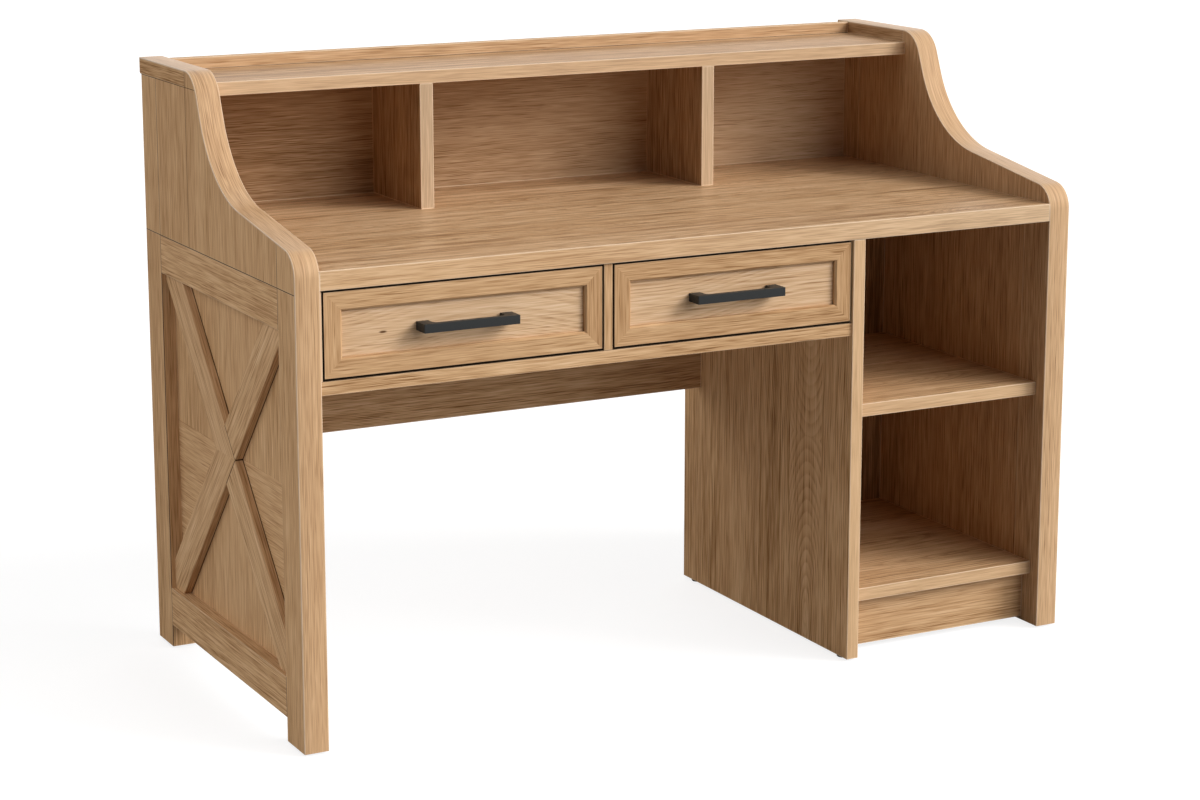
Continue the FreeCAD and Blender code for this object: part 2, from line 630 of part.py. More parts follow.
def runner(wall_x, side):
    """The three nested members of one runner, from the carcass wall at wall_x towards the drawer.

    side is 1 where the drawer lies towards +X of the wall and -1 where it lies towards -X.
    """
    middle_web = RUNNER_WALL + RUNNER_CLEARANCE
    middle_height = RUNNER_HEIGHT - 2 * middle_web
    drawer_height = middle_height - 2 * middle_web
    drawer_web = RUNNER_SPACE
    lips = drawer_web - RUNNER_WALL - RUNNER_END_GAP
    drawer_lips = middle_web + RUNNER_WALL + RUNNER_END_GAP
    return {
        "cabinet": channel(wall_x, wall_x + side * lips, RUNNER_HEIGHT),
        "middle": channel(wall_x + side * middle_web, wall_x + side * lips, middle_height),
        "drawer": channel(wall_x + side * drawer_web, wall_x + side * drawer_lips, drawer_height),
    }


def drawers():
    """Both drawers with their runners."""
    nodes = {"runner_cabinet_members": []}
    for name, bay in DRAWER_BAYS.items():
        pair = [runner(bay[0], 1), runner(bay[1], -1)]
        nodes["runner_cabinet_members"] += [members["cabinet"] for members in pair]
        nodes[name + "_runner_middle_members"] = [members["middle"] for members in pair]
        nodes[name + "_drawer_runner_members"] = [members["drawer"] for members in pair]
        for part, shape in {**drawer_front(bay), **drawer_box(bay)}.items():
            nodes[name + "_drawer_" + part] = shape
    return nodes


# ---- Glides ----
def glides():
    """Round glides under the four feet and under the front and back of the divider."""
    radius = GLIDE_DIAMETER / 2
    post_x = (INSIDE + OUTSIDE) / 2
    divider_x = (DIVIDER_LEFT + DIVIDER_RIGHT) / 2
    places = [(x, y) for x in (-post_x, post_x) for y in (STILE_WIDTH / 2, END_DEPTH - STILE_WIDTH / 2)]
    places += [
        (divider_x, FRONT_INSET + DIVIDER_GLIDE_INSET),
        (divider_x, DIVIDER_BACK - DIVIDER_GLIDE_INSET),
    ]
    sole = Part.makeCone(radius - GLIDE_BEVEL, radius, GLIDE_BEVEL)
    disc = Part.makeCylinder(radius, GLIDE_HEIGHT - GLIDE_BEVEL, Vec(0, 0, GLIDE_BEVEL))
    glide = sole.fuse(disc).removeSplitter()
    solids = []
    for x, y in places:
        copy = glide.copy()
        copy.translate(Vec(x, y, 0))
        solids.append(copy)
    return {"floor_glides": solids}


def write_step(name, shape):
    """Writes one sub-part, with the origin under the middle of the desk."""
    solids = shape if isinstance(shape, list) else [shape]
    moved = Part.makeCompound([solid for piece in solids for solid in piece.Solids])
    moved.translate(Vec(0, -MIDDLE_OF_DEPTH, 0))
    moved.exportStep("parts/" + name + ".step")


def main():
    """Builds the desk and writes every sub-part."""
    os.makedirs("parts", exist_ok=True)
    nodes = {**ends(), **carcass(), **hutch(), **drawers(), **glides()}
    for name, shape in nodes.items():
        write_step(name, shape)


if __name__ == "__main__":
    main()
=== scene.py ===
"""A student desk with a low hutch: its finishes, edge bands, pulls, screws, light and camera.

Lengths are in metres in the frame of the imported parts: X to the right end, Y to the back, Z up.
"""
import logging
import math
from dataclasses import dataclass, field
from enum import Enum
from typing import Optional, Sequence, Union

import bpy
import numpy as np
from mathutils import Euler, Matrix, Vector


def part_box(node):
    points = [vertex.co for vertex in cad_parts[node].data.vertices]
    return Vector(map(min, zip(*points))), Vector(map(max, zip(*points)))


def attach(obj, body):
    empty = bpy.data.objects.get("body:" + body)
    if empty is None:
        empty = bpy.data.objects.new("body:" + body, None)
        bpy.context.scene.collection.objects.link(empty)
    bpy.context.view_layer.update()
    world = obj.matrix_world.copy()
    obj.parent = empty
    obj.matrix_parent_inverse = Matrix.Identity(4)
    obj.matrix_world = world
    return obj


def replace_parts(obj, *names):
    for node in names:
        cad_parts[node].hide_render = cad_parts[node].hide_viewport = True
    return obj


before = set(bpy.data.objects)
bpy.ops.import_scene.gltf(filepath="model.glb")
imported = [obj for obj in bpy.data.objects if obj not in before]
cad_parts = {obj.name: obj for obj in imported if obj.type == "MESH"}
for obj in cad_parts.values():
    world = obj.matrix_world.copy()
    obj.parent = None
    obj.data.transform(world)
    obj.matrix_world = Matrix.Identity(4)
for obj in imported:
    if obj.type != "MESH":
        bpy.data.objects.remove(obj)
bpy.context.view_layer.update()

Colour = tuple[float, float, float]
Triple = tuple[float, float, float]
Material = bpy.types.Material
Piece = bpy.types.Object
Socket = bpy.types.NodeSocket
Value = Union[float, Sequence[float], Socket, "Signal"]

log = logging.getLogger("desk")
DEPTH_SHIFT = 0.32575  # from the front face of the ends to the middle of the desk
SEAM_AND_SHADE_DEPTH = 0.0015  # how far a hairline on a front edge reaches round its arris, seams and painted gap shade alike
X_AXIS, Y_AXIS, Z_AXIS = range(3)
ENDLESS = 100.0  # half the length of a strip whose ends show no pale edge


# ---- Writing shaders ----
class Signal:
    """A value that runs through a node tree and can be reckoned with like a number."""

    def __init__(self, nodes: "Nodes", socket: Socket) -> None:
        """Takes it from the output of a node."""
        self.nodes = nodes
        self.socket = socket

    def __add__(self, other: Value) -> "Signal":
        return self.nodes.math("ADD", self, other)

    def __sub__(self, other: Value) -> "Signal":
        return self.nodes.math("SUBTRACT", self, other)

    def __mul__(self, other: Value) -> "Signal":
        return self.nodes.math("MULTIPLY", self, other)

    def __truediv__(self, other: Value) -> "Signal":
        return self.nodes.math("DIVIDE", self, other)

    def __gt__(self, other: Value) -> "Signal":
        return self.nodes.math("GREATER_THAN", self, other)

    def __lt__(self, other: Value) -> "Signal":
        return self.nodes.math("LESS_THAN", self, other)

    def __abs__(self) -> "Signal":
        return self.nodes.math("ABSOLUTE", self)

    def clamped(self) -> "Signal":
        """The value, kept from 0 to 1."""
        return self.nodes.math("ADD", self, 0.0, clamp=True)


class Nodes:
    """A node tree, written one node at a time."""

    def __init__(self, tree: bpy.types.NodeTree) -> None:
        """Empties the tree."""
        self.tree = tree
        self.tree.nodes.clear()

    def node(self, kind: str, **settings: object) -> bpy.types.Node:
        """Adds a node and sets its properties."""
        made = self.tree.nodes.new(kind)
        for key, value in settings.items():
            setattr(made, key, value)
        return made

    def feed(self, socket: Socket, value: Value) -> None:
        """Links an input to a value of the tree, or sets its constant."""
        if isinstance(value, Signal):
            value = value.socket
        if isinstance(value, Socket):
            self.tree.links.new(value, socket)
        else:
            socket.default_value = value

    def fed(self, made: bpy.types.Node, *values: Value, output: Union[int, str] = 0) -> Signal:
        """Feeds the first inputs of a node and takes one of its outputs."""
        for index, value in enumerate(values):
            self.feed(made.inputs[index], value)
        return Signal(self, made.outputs[output])

    def math(self, operation: str, *values: Value, clamp: bool = False) -> Signal:
        """A Math node over one to three values."""
        return self.fed(self.node("ShaderNodeMath", operation=operation, use_clamp=clamp), *values)

    def seen(self) -> Signal:
        """1 where the camera or a mirroring face looks, 0 for light that falls on the desk."""
        path = self.node("ShaderNodeLightPath")
        return self.math("MAXIMUM", path.outputs["Is Camera Ray"], path.outputs["Is Glossy Ray"])


class Shader(Nodes):
    """A material's node tree."""

    def __init__(self, name: str) -> None:
        """Makes an empty material with a Principled shader on its output."""
        self.material = bpy.data.materials.new(name)
        self.material.use_nodes = True
        super().__init__(self.material.node_tree)
        self.principled = self.node("ShaderNodeBsdfPrincipled")
        output = self.node("ShaderNodeOutputMaterial")
        self.feed(output.inputs["Surface"], self.principled.outputs["BSDF"])

    def place(self, kind: str = "Object") -> Signal:
        """Where a point is, in the desk's frame or on the piece's own map."""
        return self.fed(self.node("ShaderNodeTexCoord"), output=kind)

    def vector(self, operation: str, *values: Value) -> Signal:
        """A Vector Math node over one or two vectors."""
        output = "Value" if operation in ("DOT_PRODUCT", "LENGTH") else "Vector"
        return self.fed(self.node("ShaderNodeVectorMath", operation=operation), *values, output=output)

    def noise(self, vector: Signal, scale: Triple, detail: float = 2.0, roughness: float = 0.5) -> Signal:
        """Smooth noise from 0 to 1 with scale features a metre along each part of the vector."""
        made = self.node("ShaderNodeTexNoise")
        self.feed(made.inputs["Vector"], self.vector("MULTIPLY", vector, scale))
        for key, value in (("Scale", 1.0), ("Detail", detail), ("Roughness", roughness)):
            made.inputs[key].default_value = value
        return Signal(self, made.outputs["Fac"])

    def ramp(self, factor: Signal, stops: Sequence[tuple[float, Colour]]) -> Signal:
        """A colour for the factor, from stops of a position and a colour."""
        made = self.node("ShaderNodeValToRGB")
        elements = made.color_ramp.elements
        while len(elements) < len(stops):
            elements.new(0.5)
        for element, (position, colour) in zip(elements, stops):
            element.position = position
            element.color = (*colour, 1.0)
        return self.fed(made, factor, output="Color")

    def remap(self, value: Signal, low: float, high: float, start: float = 0.0, end: float = 1.0) -> Signal:
        """Carries low..high to start..end, smoothly and without going past either."""
        made = self.node("ShaderNodeMapRange", interpolation_type="SMOOTHSTEP")
        return self.fed(made, value, low, high, start, end, output="Result")

    def blend(self, factor: Value, first: Value, second: Value) -> Signal:
        """A colour that goes from the first to the second with the factor."""
        made = self.node("ShaderNodeMix", data_type="RGBA")
        self.feed(made.inputs["Factor"], factor)
        for key, end in (("A", first), ("B", second)):
            self.feed(made.inputs[key], end if isinstance(end, Signal) else (*end, 1.0))
        return Signal(self, made.outputs["Result"])

    def parts(self, vector: Value) -> tuple[Signal, ...]:
        """The X, Y and Z of a vector."""
        made = self.node("ShaderNodeSeparateXYZ")
        self.feed(made.inputs[0], vector)
        return tuple(Signal(self, output) for output in made.outputs)

    def combine(self, x: Value, y: Value, z: Value) -> Signal:
        """A vector of three parts."""
        return self.fed(self.node("ShaderNodeCombineXYZ"), x, y, z)

    def bump(self, height: Signal, strength: float, distance: float) -> None:
        """Lets the height disturb the shader's normal."""
        made = self.node("ShaderNodeBump")
        for key, value in (("Strength", strength), ("Distance", distance), ("Height", height)):
            self.feed(made.inputs[key], value)
        self.feed(self.principled.inputs["Normal"], made.outputs["Normal"])

    def set(self, **constants: object) -> None:
        """Sets or links inputs of the Principled shader; an underscore in a name stands for a space."""
        for key, value in constants.items():
            self.feed(self.principled.inputs[key.replace("_", " ")], value)


# ---- Oak ----
class Grain(Enum):
    """The direction of a board's grain, as the turn that brings it onto the pattern's first axis."""

    ALONG_X = (0.0, 0.0, 0.0)
    ALONG_Y = (0.0, 0.0, -math.pi / 2)
    ALONG_Z = (0.0, math.pi / 2, 0.0)


@dataclass(frozen=True)
class FigureStyle:
    """How the growth rings of a plank lie.

    The rings are tubes round a pith line that rises and dips under the face. The face cuts them in straight
    lines beside the pith line and in nested arches above it.
    """

    aside: float  # pith line to the middle of the plank, in metres
    under: float  # mean depth of the pith line under the face
    dip: float  # how far it rises and dips
    waves: float  # rises and dips in a metre
    ring: float  # distance between rings
    strength: float  # how dark the rings are, 0 to 1
    ripple: float  # how far the rings stray from their tubes, in metres
    tilt: float = 0.0  # how much nearer to the face the pith line comes towards both ends, in a metre


class Figure(Enum):
    """Named styles of figure in oak."""

    PLAIN = FigureStyle(
        aside=0.32, under=0.05, dip=0.10, waves=1.1, ring=0.0034, strength=0.17, ripple=0.003
    )
    STRAIGHT = FigureStyle(
        aside=0.32, under=0.05, dip=0.10, waves=1.1, ring=0.0044, strength=0.27, ripple=0.003
    )
    CATHEDRAL = FigureStyle(
        aside=0.004, under=0.02, dip=0.20, waves=1.2, ring=0.0050, strength=0.68, ripple=0.0016
    )
    SWIRLED = FigureStyle(
        aside=0.0, under=0.004, dip=0.034, waves=3.4, ring=0.0028, strength=0.32, ripple=0.0006
    )
    ARCHED = FigureStyle(
        aside=0.0, under=0.072, dip=0.006, waves=3.0, ring=0.0060, strength=0.90, ripple=0.0016, tilt=0.27
    )


@dataclass(frozen=True)
class Knot:
    """A small dark knot in a board, at a place in the desk's frame."""

    place: Triple
    length: float
    width: float


@dataclass(frozen=True)
class Planks:
    """Strips that a wide laminate is printed in, side by side across the grain."""

    width: float = 10.0
    start: float = -5.0  # where one strip begins, from the middle of the board
    joins: float = 0.0  # how pale the hairlines between strips are, 0 to 1
    lone: bool = False  # whether only the strip that begins at start shows arches


@dataclass(frozen=True)
class SeamAndShadeLine:
    """A dark hairline where a plane crosses a board: a seam where it meets its neighbour, and on some boards
    painted shade along a narrow gap or a crease.
    """

    normal: Triple
    at: float  # the plane's distance from the origin along the normal, after a pair is folded
    reach: float = 0.0010  # how far the hairline reaches from the plane


ACROSS: Triple = (1.0, 0.0, 0.0)
DEEP: Triple = (0.0, 1.0, 0.0)
UP: Triple = (0.0, 0.0, 1.0)


@dataclass(frozen=True)
class Stock:
    """Where a board's pattern lies."""

    middle: Triple  # the middle of the board, after the fold
    half: Triple  # half the board's length along the grain, width and thickness
    turn: Triple  # the turn that brings the grain onto the pattern's first axis
    fold_axis: Optional[int] = None  # for a pair that mirror one another, the axis across the plane between
    fold_at: float = 0.0  # where that plane is

    @staticmethod
    def of(node: str, grain: Grain, pair_axis: Optional[int] = None, thickness: float = 0.0) -> "Stock":
        """The stock of a packed board, or of a pair that are each this thick along the pair's axis."""
        low, high = (np.array(corner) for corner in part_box(node))
        middle, half = (low + high) / 2, (high - low) / 2
        plane = 0.0
        if pair_axis is not None:
            plane = float(middle[pair_axis])
            middle[pair_axis] = half[pair_axis] - thickness / 2
            half[pair_axis] = thickness / 2
        order = {
            Grain.ALONG_X: (X_AXIS, Y_AXIS, Z_AXIS),
            Grain.ALONG_Y: (Y_AXIS, X_AXIS, Z_AXIS),
            Grain.ALONG_Z: (Z_AXIS, Y_AXIS, X_AXIS),
        }[grain]
        return Stock(tuple(middle.tolist()), tuple(half[list(order)].tolist()), grain.value, pair_axis, plane)


@dataclass(frozen=True)
class Layer:
    """A noise of the print, stretched along the grain."""

    along: float  # features in a metre along the grain
    across: float  # features in a metre across it
    detail: float = 1.0
    roughness: float = 0.5
    clip: tuple[float, ...] = ()  # a low and a high value, and what they are carried to if not 0 and 1

    def on(self, shader: Shader, grain: Signal) -> Signal:
        """The noise at a place whose first axis is the grain."""
        value = shader.noise(grain, (self.along, self.across, self.across), self.detail, self.roughness)
        return shader.remap(value, *self.clip) if self.clip else value


FIBRE = Layer(5.0, 310.0, detail=3.0, roughness=0.65)
FINE_FIBRE = Layer(17.0, 600.0, detail=1.5)
STREAKS = Layer(2.4, 64.0, detail=1.5)
CLOUDS = Layer(1.1, 15.0, detail=1.5)
PORES = Layer(15.0, 480.0, clip=(0.58, 0.70))
FLECKS = Layer(16.0, 360.0, clip=(0.60, 0.72))
DASHES = Layer(12.0, 420.0, detail=2.0, clip=(0.38, 0.62, 0.40, 1.15))  # breaks the rings into marks
PATCHES = Layer(2.4, 13.0, clip=(0.34, 0.62, 0.40, 1.0))  # where the rings are strong
BLUSH = Layer(1.7, 9.0, clip=(0.35, 0.65, 0.0, 0.20))
WANDER = Layer(0.9, 3.0)  # lets the pith line stray sideways
RIPPLE = Layer(6.0, 42.0, detail=2.0)

SEED_STEP: Triple = (1.37, 0.61, 0.43)  # how far the next seed moves the pattern
SEED_CHANCE = (31.0, 7.0)  # what a seed is multiplied by and raised by for the random numbers of its strips
PAIR_SHIFT = 3.1  # how far the print of a pair's second board is moved along the grain
STRIP_SHIFT = 7.0  # how far that of a strip is, at most
STRIP_STRAY = 0.3  # how far a strip's pith line strays, over the strip's width
WIDEST_STRAY = 0.2  # no strip counts as wider for that
STRIP_TONES = 0.13  # how much strips differ in lightness
BESIDE_LONE = 0.3  # how much farther aside the pith line lies in the strips beside a lone one
WANDER_REACH = 0.05  # how far a pith line strays sideways along the board
MEAN_TONE = 0.55  # the place of a plain face on the colour ramp
FIBRE_WEIGHT = 0.95
FINE_WEIGHT = 1.35
CLOUD_WEIGHT = 0.28
RING_SHADE = 0.50
PORE_SHADE = 0.34
PORES_APART = 0.35  # how strong pores are apart from the dark rings
FLECK_SHINE = 0.16
FIBRE_ROUGHNESS = 0.20  # how much the roughness varies with the fibre
FIBRE_HEIGHT = 0.5  # how high the fibre stands, over the depth of a pore
FRONT_EDGE = (0.0008, 0.0016)  # over these distances from the edge the front strip fades
FRONT_CALM = 0.35  # how much weaker the print is on it
FRONT_RINGLESS = 0.85  # how much weaker the rings are on it
JOIN_EDGE = (0.0003, 0.0013)  # over these distances a join between strips fades
WORN_AND_HIGHLIGHT_EDGE = (0.0003, 0.0021)  # and the painted wear and highlight of an edge
SEAM_AND_SHADE_CORE = 0.4  # the full dark of a seam line, painted shade lines included, over its reach
SEAM_AND_SHADE_STRENGTH = 0.92
KNOT_CORE = (0.4, 1.15)  # over these multiples of its radius a knot fades
KNOT_RINGS = (1.0, 5.0)  # and so do the dark rings round it
KNOT_STRENGTH = 0.75  # of those rings
# Painted shade inside narrow gaps:
GAP_REACH = 0.016  # how far from a point its surround counts
GAP_OPENNESS = (0.20, 0.52)  # a gap gets painted shade where less of its surround is open
GAP_SHADE_STRENGTH = 0.97
RING_PROFILE = ((0.0, 0.85), (0.10, 1.0), (0.42, 0.42), (0.78, 0.0), (0.93, 0.10), (1.0, 0.85))

PALE: Colour = (0.800, 0.625, 0.435)
# the pale of worn edges and of painted highlights on arrises
WORN_AND_HIGHLIGHT: Colour = (0.800, 0.615, 0.430)
ROSY: Colour = (0.560, 0.330, 0.172)
KNOT_DARK: Colour = (0.115, 0.052, 0.022)
# the dark of seams and of painted shade lines along gaps and creases
SEAM_AND_SHADE_DARK: Colour = (0.030, 0.016, 0.008)
# the near black of painted shade inside narrow gaps
GAP_SHADE_DARK: Colour = (0.006, 0.004, 0.003)
OAK_STOPS: tuple[tuple[float, Colour], ...] = (
    (0.0, (0.215, 0.104, 0.039)),
    (0.25, (0.378, 0.208, 0.094)),
    (0.50, (0.535, 0.325, 0.166)),
    (0.75, (0.650, 0.418, 0.230)),
    (1.0, (0.735, 0.506, 0.308)),
)


@dataclass(frozen=True)
class OakLaminate:
    """Satin oak laminate, printed with rings, pores, flecks and fibre along the board, with pale edges of
    wear and painted highlight, and painted shade in gaps and along some seams.
    """

    name: str
    figure: Figure = Figure.STRAIGHT
    seed: int = 0  # moves the pattern, so that neighbouring boards differ
    tone: float = 0.0  # lightness of the whole board, 0 for the usual
    roughness: float = 0.50  # mean roughness of the face
    planks: Planks = Planks()
    contrast: float = 1.0  # how strongly fibre and streaks show
    gloss: float = 0.05  # the specular level of the face
    knots: tuple[Knot, ...] = ()
    quartered: Optional[Triple] = None  # middle of the cross before it, and its arms' rise over their run
    quartered_beyond: float = 0.669  # the grain turns on faces farther than this from the desk's middle
    follows_map: bool = False  # whether the pattern reads the piece's own map instead of its place
    seams_and_shade: tuple[SeamAndShadeLine, ...] = ()
    seams_and_shade_beyond: float = 0.0  # the seams and painted shade lines show on faces farther than this from the desk's middle
    seams_and_shade_before: float = 10.0  # and nearer to the user than this
    warmth: float = 0.0  # how much redder the board is, 0 for the usual
    wear_and_highlight: float = 0.78  # how pale the board's edges are painted, 0 to 1: rubbed wear and a painted highlight where the arrises catch light
    front_band: float = 0.0  # how pale the middle of the strip on the board's front edge is, 0 to 1: a plainer edge strip, made paler as painted light on the lit front face
    front_painted_light_rise: float = 0.0  # how much paler that gets along a metre of the strip, as painted light from the lit side
    streaks: float = 0.60  # how strongly streaks some 15 mm wide show
    rise: float = 0.0  # how much lighter the board gets along a metre of its grain, as painted light and shade
    gap_shade: bool = False  # whether it borders a narrow gap, whose inside is darkened with painted shade

    def material(self, stock: Stock) -> Material:
        """Writes the material for a board with its pattern where the stock says."""
        shader = Shader(self.name)
        place = shader.place("UV" if self.follows_map else "Object")
        folded, shift = self._fold(shader, place, stock)
        lie = self._turn(shader, self._quarter(shader, folded), stock)
        along, side, depth = shader.parts(lie)
        centre, shade, shift = self._strip(shader, side, shift)
        grain = shader.vector("ADD", lie, tuple(step * self.seed for step in SEED_STEP))
        grain = shader.vector("ADD", grain, shader.combine(shift, 0.0, 0.0))

        rings = self._rings(shader, grain, along, side - centre, depth)
        for knot in self.knots:
            near = shader.remap(self._from_knot(shader, place, knot), *KNOT_RINGS, KNOT_STRENGTH, 0.0)
            rings = shader.math("MAXIMUM", rings, near)
        fibre = FIBRE.on(shader, grain)
        pores = PORES.on(shader, grain) * (rings * (1 - PORES_APART) + PORES_APART)
        on_front = shader.remap(side + stock.half[1], *FRONT_EDGE, 1.0, 0.0) if self.front_band else None
        # rise paints light and shade along the grain
        tone = self._tone(shader, grain, along * self.rise + shade, rings, fibre, pores, on_front)

        colour = self._colour(shader, grain, tone)
        # The front strip, made paler as painted light of the lit front face.
        if self.front_band:
            pale = (along * self.front_painted_light_rise + self.front_band).clamped()
            colour = shader.blend(on_front * pale, colour, PALE)
        if self.planks.joins:
            away = shader.math("PINGPONG", side - self.planks.start, self.planks.width / 2)
            colour = shader.blend(shader.remap(away, *JOIN_EDGE, self.planks.joins, 0.0), colour, PALE)
        for knot in self.knots:
            core = shader.remap(self._from_knot(shader, place, knot), *KNOT_CORE, 1.0, 0.0)
            colour = shader.blend(core, colour, KNOT_DARK)
        # Pale edges: rubbed wear and a painted highlight where the arrises catch light.
        colour = shader.blend(self._edge_wear_and_highlight(shader, lie, stock.half), colour, WORN_AND_HIGHLIGHT)
        # Seams, and dark lines of painted shade along gaps and creases.
        colour = self._draw_seams_and_shade(shader, place, folded, colour)
        # Painted shade: faces deep in a narrow gap, where little of the surround is open, are darkened nearly
        # to black.
        if self.gap_shade:
            openness = shader.node("ShaderNodeAmbientOcclusion", samples=16)
            openness.inputs["Distance"].default_value = GAP_REACH
            inside = shader.remap(openness.outputs["AO"], *GAP_OPENNESS, GAP_SHADE_STRENGTH, 0.0)
            colour = shader.blend(inside, colour, GAP_SHADE_DARK)
        roughness = fibre * FIBRE_ROUGHNESS + (self.roughness - FIBRE_ROUGHNESS / 2)
        shader.set(Base_Color=colour, Specular_IOR_Level=self.gloss, Roughness=roughness)
        shader.bump(fibre * FIBRE_HEIGHT - pores, strength=0.20, distance=0.0004)
        return shader.material

    def _tone(
        self, shader: Shader, grain: Signal, start: Signal, rings: Signal, fibre: Signal, pores: Signal,
        on_front: Optional[Signal],
    ) -> Signal:
        """The place of a point on the colour ramp: the sum of the layers of the print."""
        strength = PATCHES.on(shader, grain) * self.figure.value.strength
        band = rings * DASHES.on(shader, grain) * strength
        if on_front is not None:
            band = band * (on_front * -FRONT_RINGLESS + 1.0)
        layers = (
            (fibre, FIBRE_WEIGHT * self.contrast),
            (FINE_FIBRE.on(shader, grain), FINE_WEIGHT * self.contrast),
            (STREAKS.on(shader, grain), self.streaks * self.contrast),
            (CLOUDS.on(shader, grain), CLOUD_WEIGHT),
        )
        plain = MEAN_TONE + self.tone
        tone = start + (plain - 0.5 * sum(weight for _, weight in layers))
        for part, weight in layers:
            tone = part * weight + tone
        tone = tone - band * RING_SHADE - pores * PORE_SHADE
        tone = (FLECKS.on(shader, grain) * FLECK_SHINE + tone).clamped()
        if on_front is not None:
            tone = tone - (tone - plain) * (on_front * FRONT_CALM)
        return tone

    def _colour(self, shader: Shader, grain: Signal, tone: Signal) -> Signal:
        """The oak's colour for a tone, as warm as the board and with rosy patches."""
        green, blue = 1 - self.warmth / 3, 1 - self.warmth
        stops = [(at, (r, g * green, b * blue)) for at, (r, g, b) in OAK_STOPS]
        return shader.blend(BLUSH.on(shader, grain), shader.ramp(tone, stops), ROSY)

    def _fold(self, shader: Shader, place: Signal, stock: Stock) -> tuple[Signal, Value]:
        """Folds the places of a pair onto one board, and shifts the other board's print along the grain."""
        if stock.fold_axis is None:
            return place, 0.0
        parts = list(shader.parts(place))
        away = parts[stock.fold_axis] - stock.fold_at
        parts[stock.fold_axis] = abs(away)
        return shader.combine(*parts), (away > 0.0) * PAIR_SHIFT

    def _quarter(self, shader: Shader, place: Signal) -> Signal:
        """Swaps depth and height in the lower halves of a quartered panel's side fields."""
        if self.quartered is None:
            return place
        y, z, rise = self.quartered
        x, from_y, from_z = shader.parts(place)
        from_y, from_z = from_y - y, from_z - z
        side_field = (abs(from_y) * rise > abs(from_z)) * (from_z < 0.0) * (abs(x) > self.quartered_beyond)
        mix = shader.node("ShaderNodeMix", data_type="VECTOR")
        factor, first, second, result = mix.inputs[0], mix.inputs[4], mix.inputs[5], mix.outputs[1]
        shader.feed(factor, side_field)
        shader.feed(first, place)
        shader.feed(second, shader.combine(x, from_z + y, from_y + z))
        return Signal(shader, result)

    def _turn(self, shader: Shader, place: Signal, stock: Stock) -> Signal:
        """Centres and turns a place, so that the grain runs along the first axis."""
        mapping = shader.node("ShaderNodeMapping")
        turned = Euler(stock.turn, "XYZ").to_matrix() @ Vector(stock.middle)
        for key, value in (("Rotation", stock.turn), ("Location", -turned), ("Vector", place)):
            shader.feed(mapping.inputs[key], value)
        return Signal(shader, mapping.outputs["Vector"])

    def _draw_seams_and_shade(self, shader: Shader, place: Signal, folded: Signal, colour: Signal) -> Signal:
        """Draws the seams and the painted shade lines over a colour, on the faces where they show."""
        if not self.seams_and_shade:
            return colour
        x, y, _ = shader.parts(place)
        shows = (abs(x) > self.seams_and_shade_beyond) * (y < self.seams_and_shade_before)
        for dark_line in self.seams_and_shade:
            away = abs(shader.vector("DOT_PRODUCT", folded, dark_line.normal) - dark_line.at)
            line = shader.remap(away, SEAM_AND_SHADE_CORE * dark_line.reach, dark_line.reach, SEAM_AND_SHADE_STRENGTH, 0.0)
            colour = shader.blend(line * shows, colour, SEAM_AND_SHADE_DARK)
        return colour

    def _strip(self, shader: Shader, side: Signal, shift: Value) -> tuple[Signal, Signal, Signal]:
        """The place of the pith line of a point's strip, its change of tone, and its shift along the grain.

        The strip's number is the whole part of the place across, over the width. It picks random numbers.
        """
        width, start = self.planks.width, self.planks.start
        number = shader.math("FLOOR", (side - start) / width)
        chance = shader.node("ShaderNodeTexWhiteNoise", noise_dimensions="1D")
        shader.feed(chance.inputs["W"], number + (SEED_CHANCE[0] * self.seed + SEED_CHANCE[1]))
        first, second, third = shader.parts(chance.outputs["Color"])
        stray = STRIP_STRAY * min(width, WIDEST_STRAY)
        centre = number * width + (first * stray + start) + (width - stray) / 2
        if self.planks.lone:
            centre = (abs(number) > 0.5) * BESIDE_LONE + centre
        return centre, second * STRIP_TONES - STRIP_TONES / 2, third * STRIP_SHIFT + shift

    def _rings(self, shader: Shader, grain: Signal, along: Signal, across: Signal, depth: Signal) -> Signal:
        """How dark the growth rings are at a point, 0 to 1.

        The distance from the pith line is the root of the sum of two squares: the place across the plank,
        and the depth under it, which noise along the grain raises and lowers. Its fraction of a ring drops
        sharply where one year ends and the next begins.
        """
        style = self.figure.value
        line = Layer(style.waves, 0.0).on(shader, grain)
        under = line * (2.0 * style.dip) + (style.under - style.dip) + depth
        if style.tilt:
            under = under - abs(along) * style.tilt
        aside = across + (WANDER.on(shader, grain) * WANDER_REACH + (style.aside - WANDER_REACH / 2))
        distance = shader.math("SQRT", under * under + aside * aside)
        distance = RIPPLE.on(shader, grain) * style.ripple + distance
        year = shader.math("FRACT", distance / style.ring)
        return shader.ramp(year, [(position, (dark,) * 3) for position, dark in RING_PROFILE])

    def _from_knot(self, shader: Shader, place: Signal, knot: Knot) -> Signal:
        """Distance from a knot's middle, 1 at its edge, longer along the grain."""
        offset = shader.vector("SUBTRACT", place, knot.place)
        over_radii = (2.0 / knot.length, 2.0 / knot.width, 2.0 / knot.width)
        return shader.vector("LENGTH", shader.vector("MULTIPLY", offset, over_radii))

    def _edge_wear_and_highlight(self, shader: Shader, lie: Signal, half: Triple) -> Signal:
        """How pale a point is painted as wear and highlight: as much as the board on an edge, 0 a little way
        in.

        A point is near an edge where two of its three distances to the board's sides are small, so the
        middle one of the three is what counts.
        """
        first, second, third = (abs(abs(part) - size) for part, size in zip(shader.parts(lie), half))
        lesser = shader.math("MINIMUM", first, second)
        greater = shader.math("MAXIMUM", first, second)
        middle = shader.math("MAXIMUM", lesser, shader.math("MINIMUM", greater, third))
        return shader.remap(middle, *WORN_AND_HIGHLIGHT_EDGE, self.wear_and_highlight, 0.0)


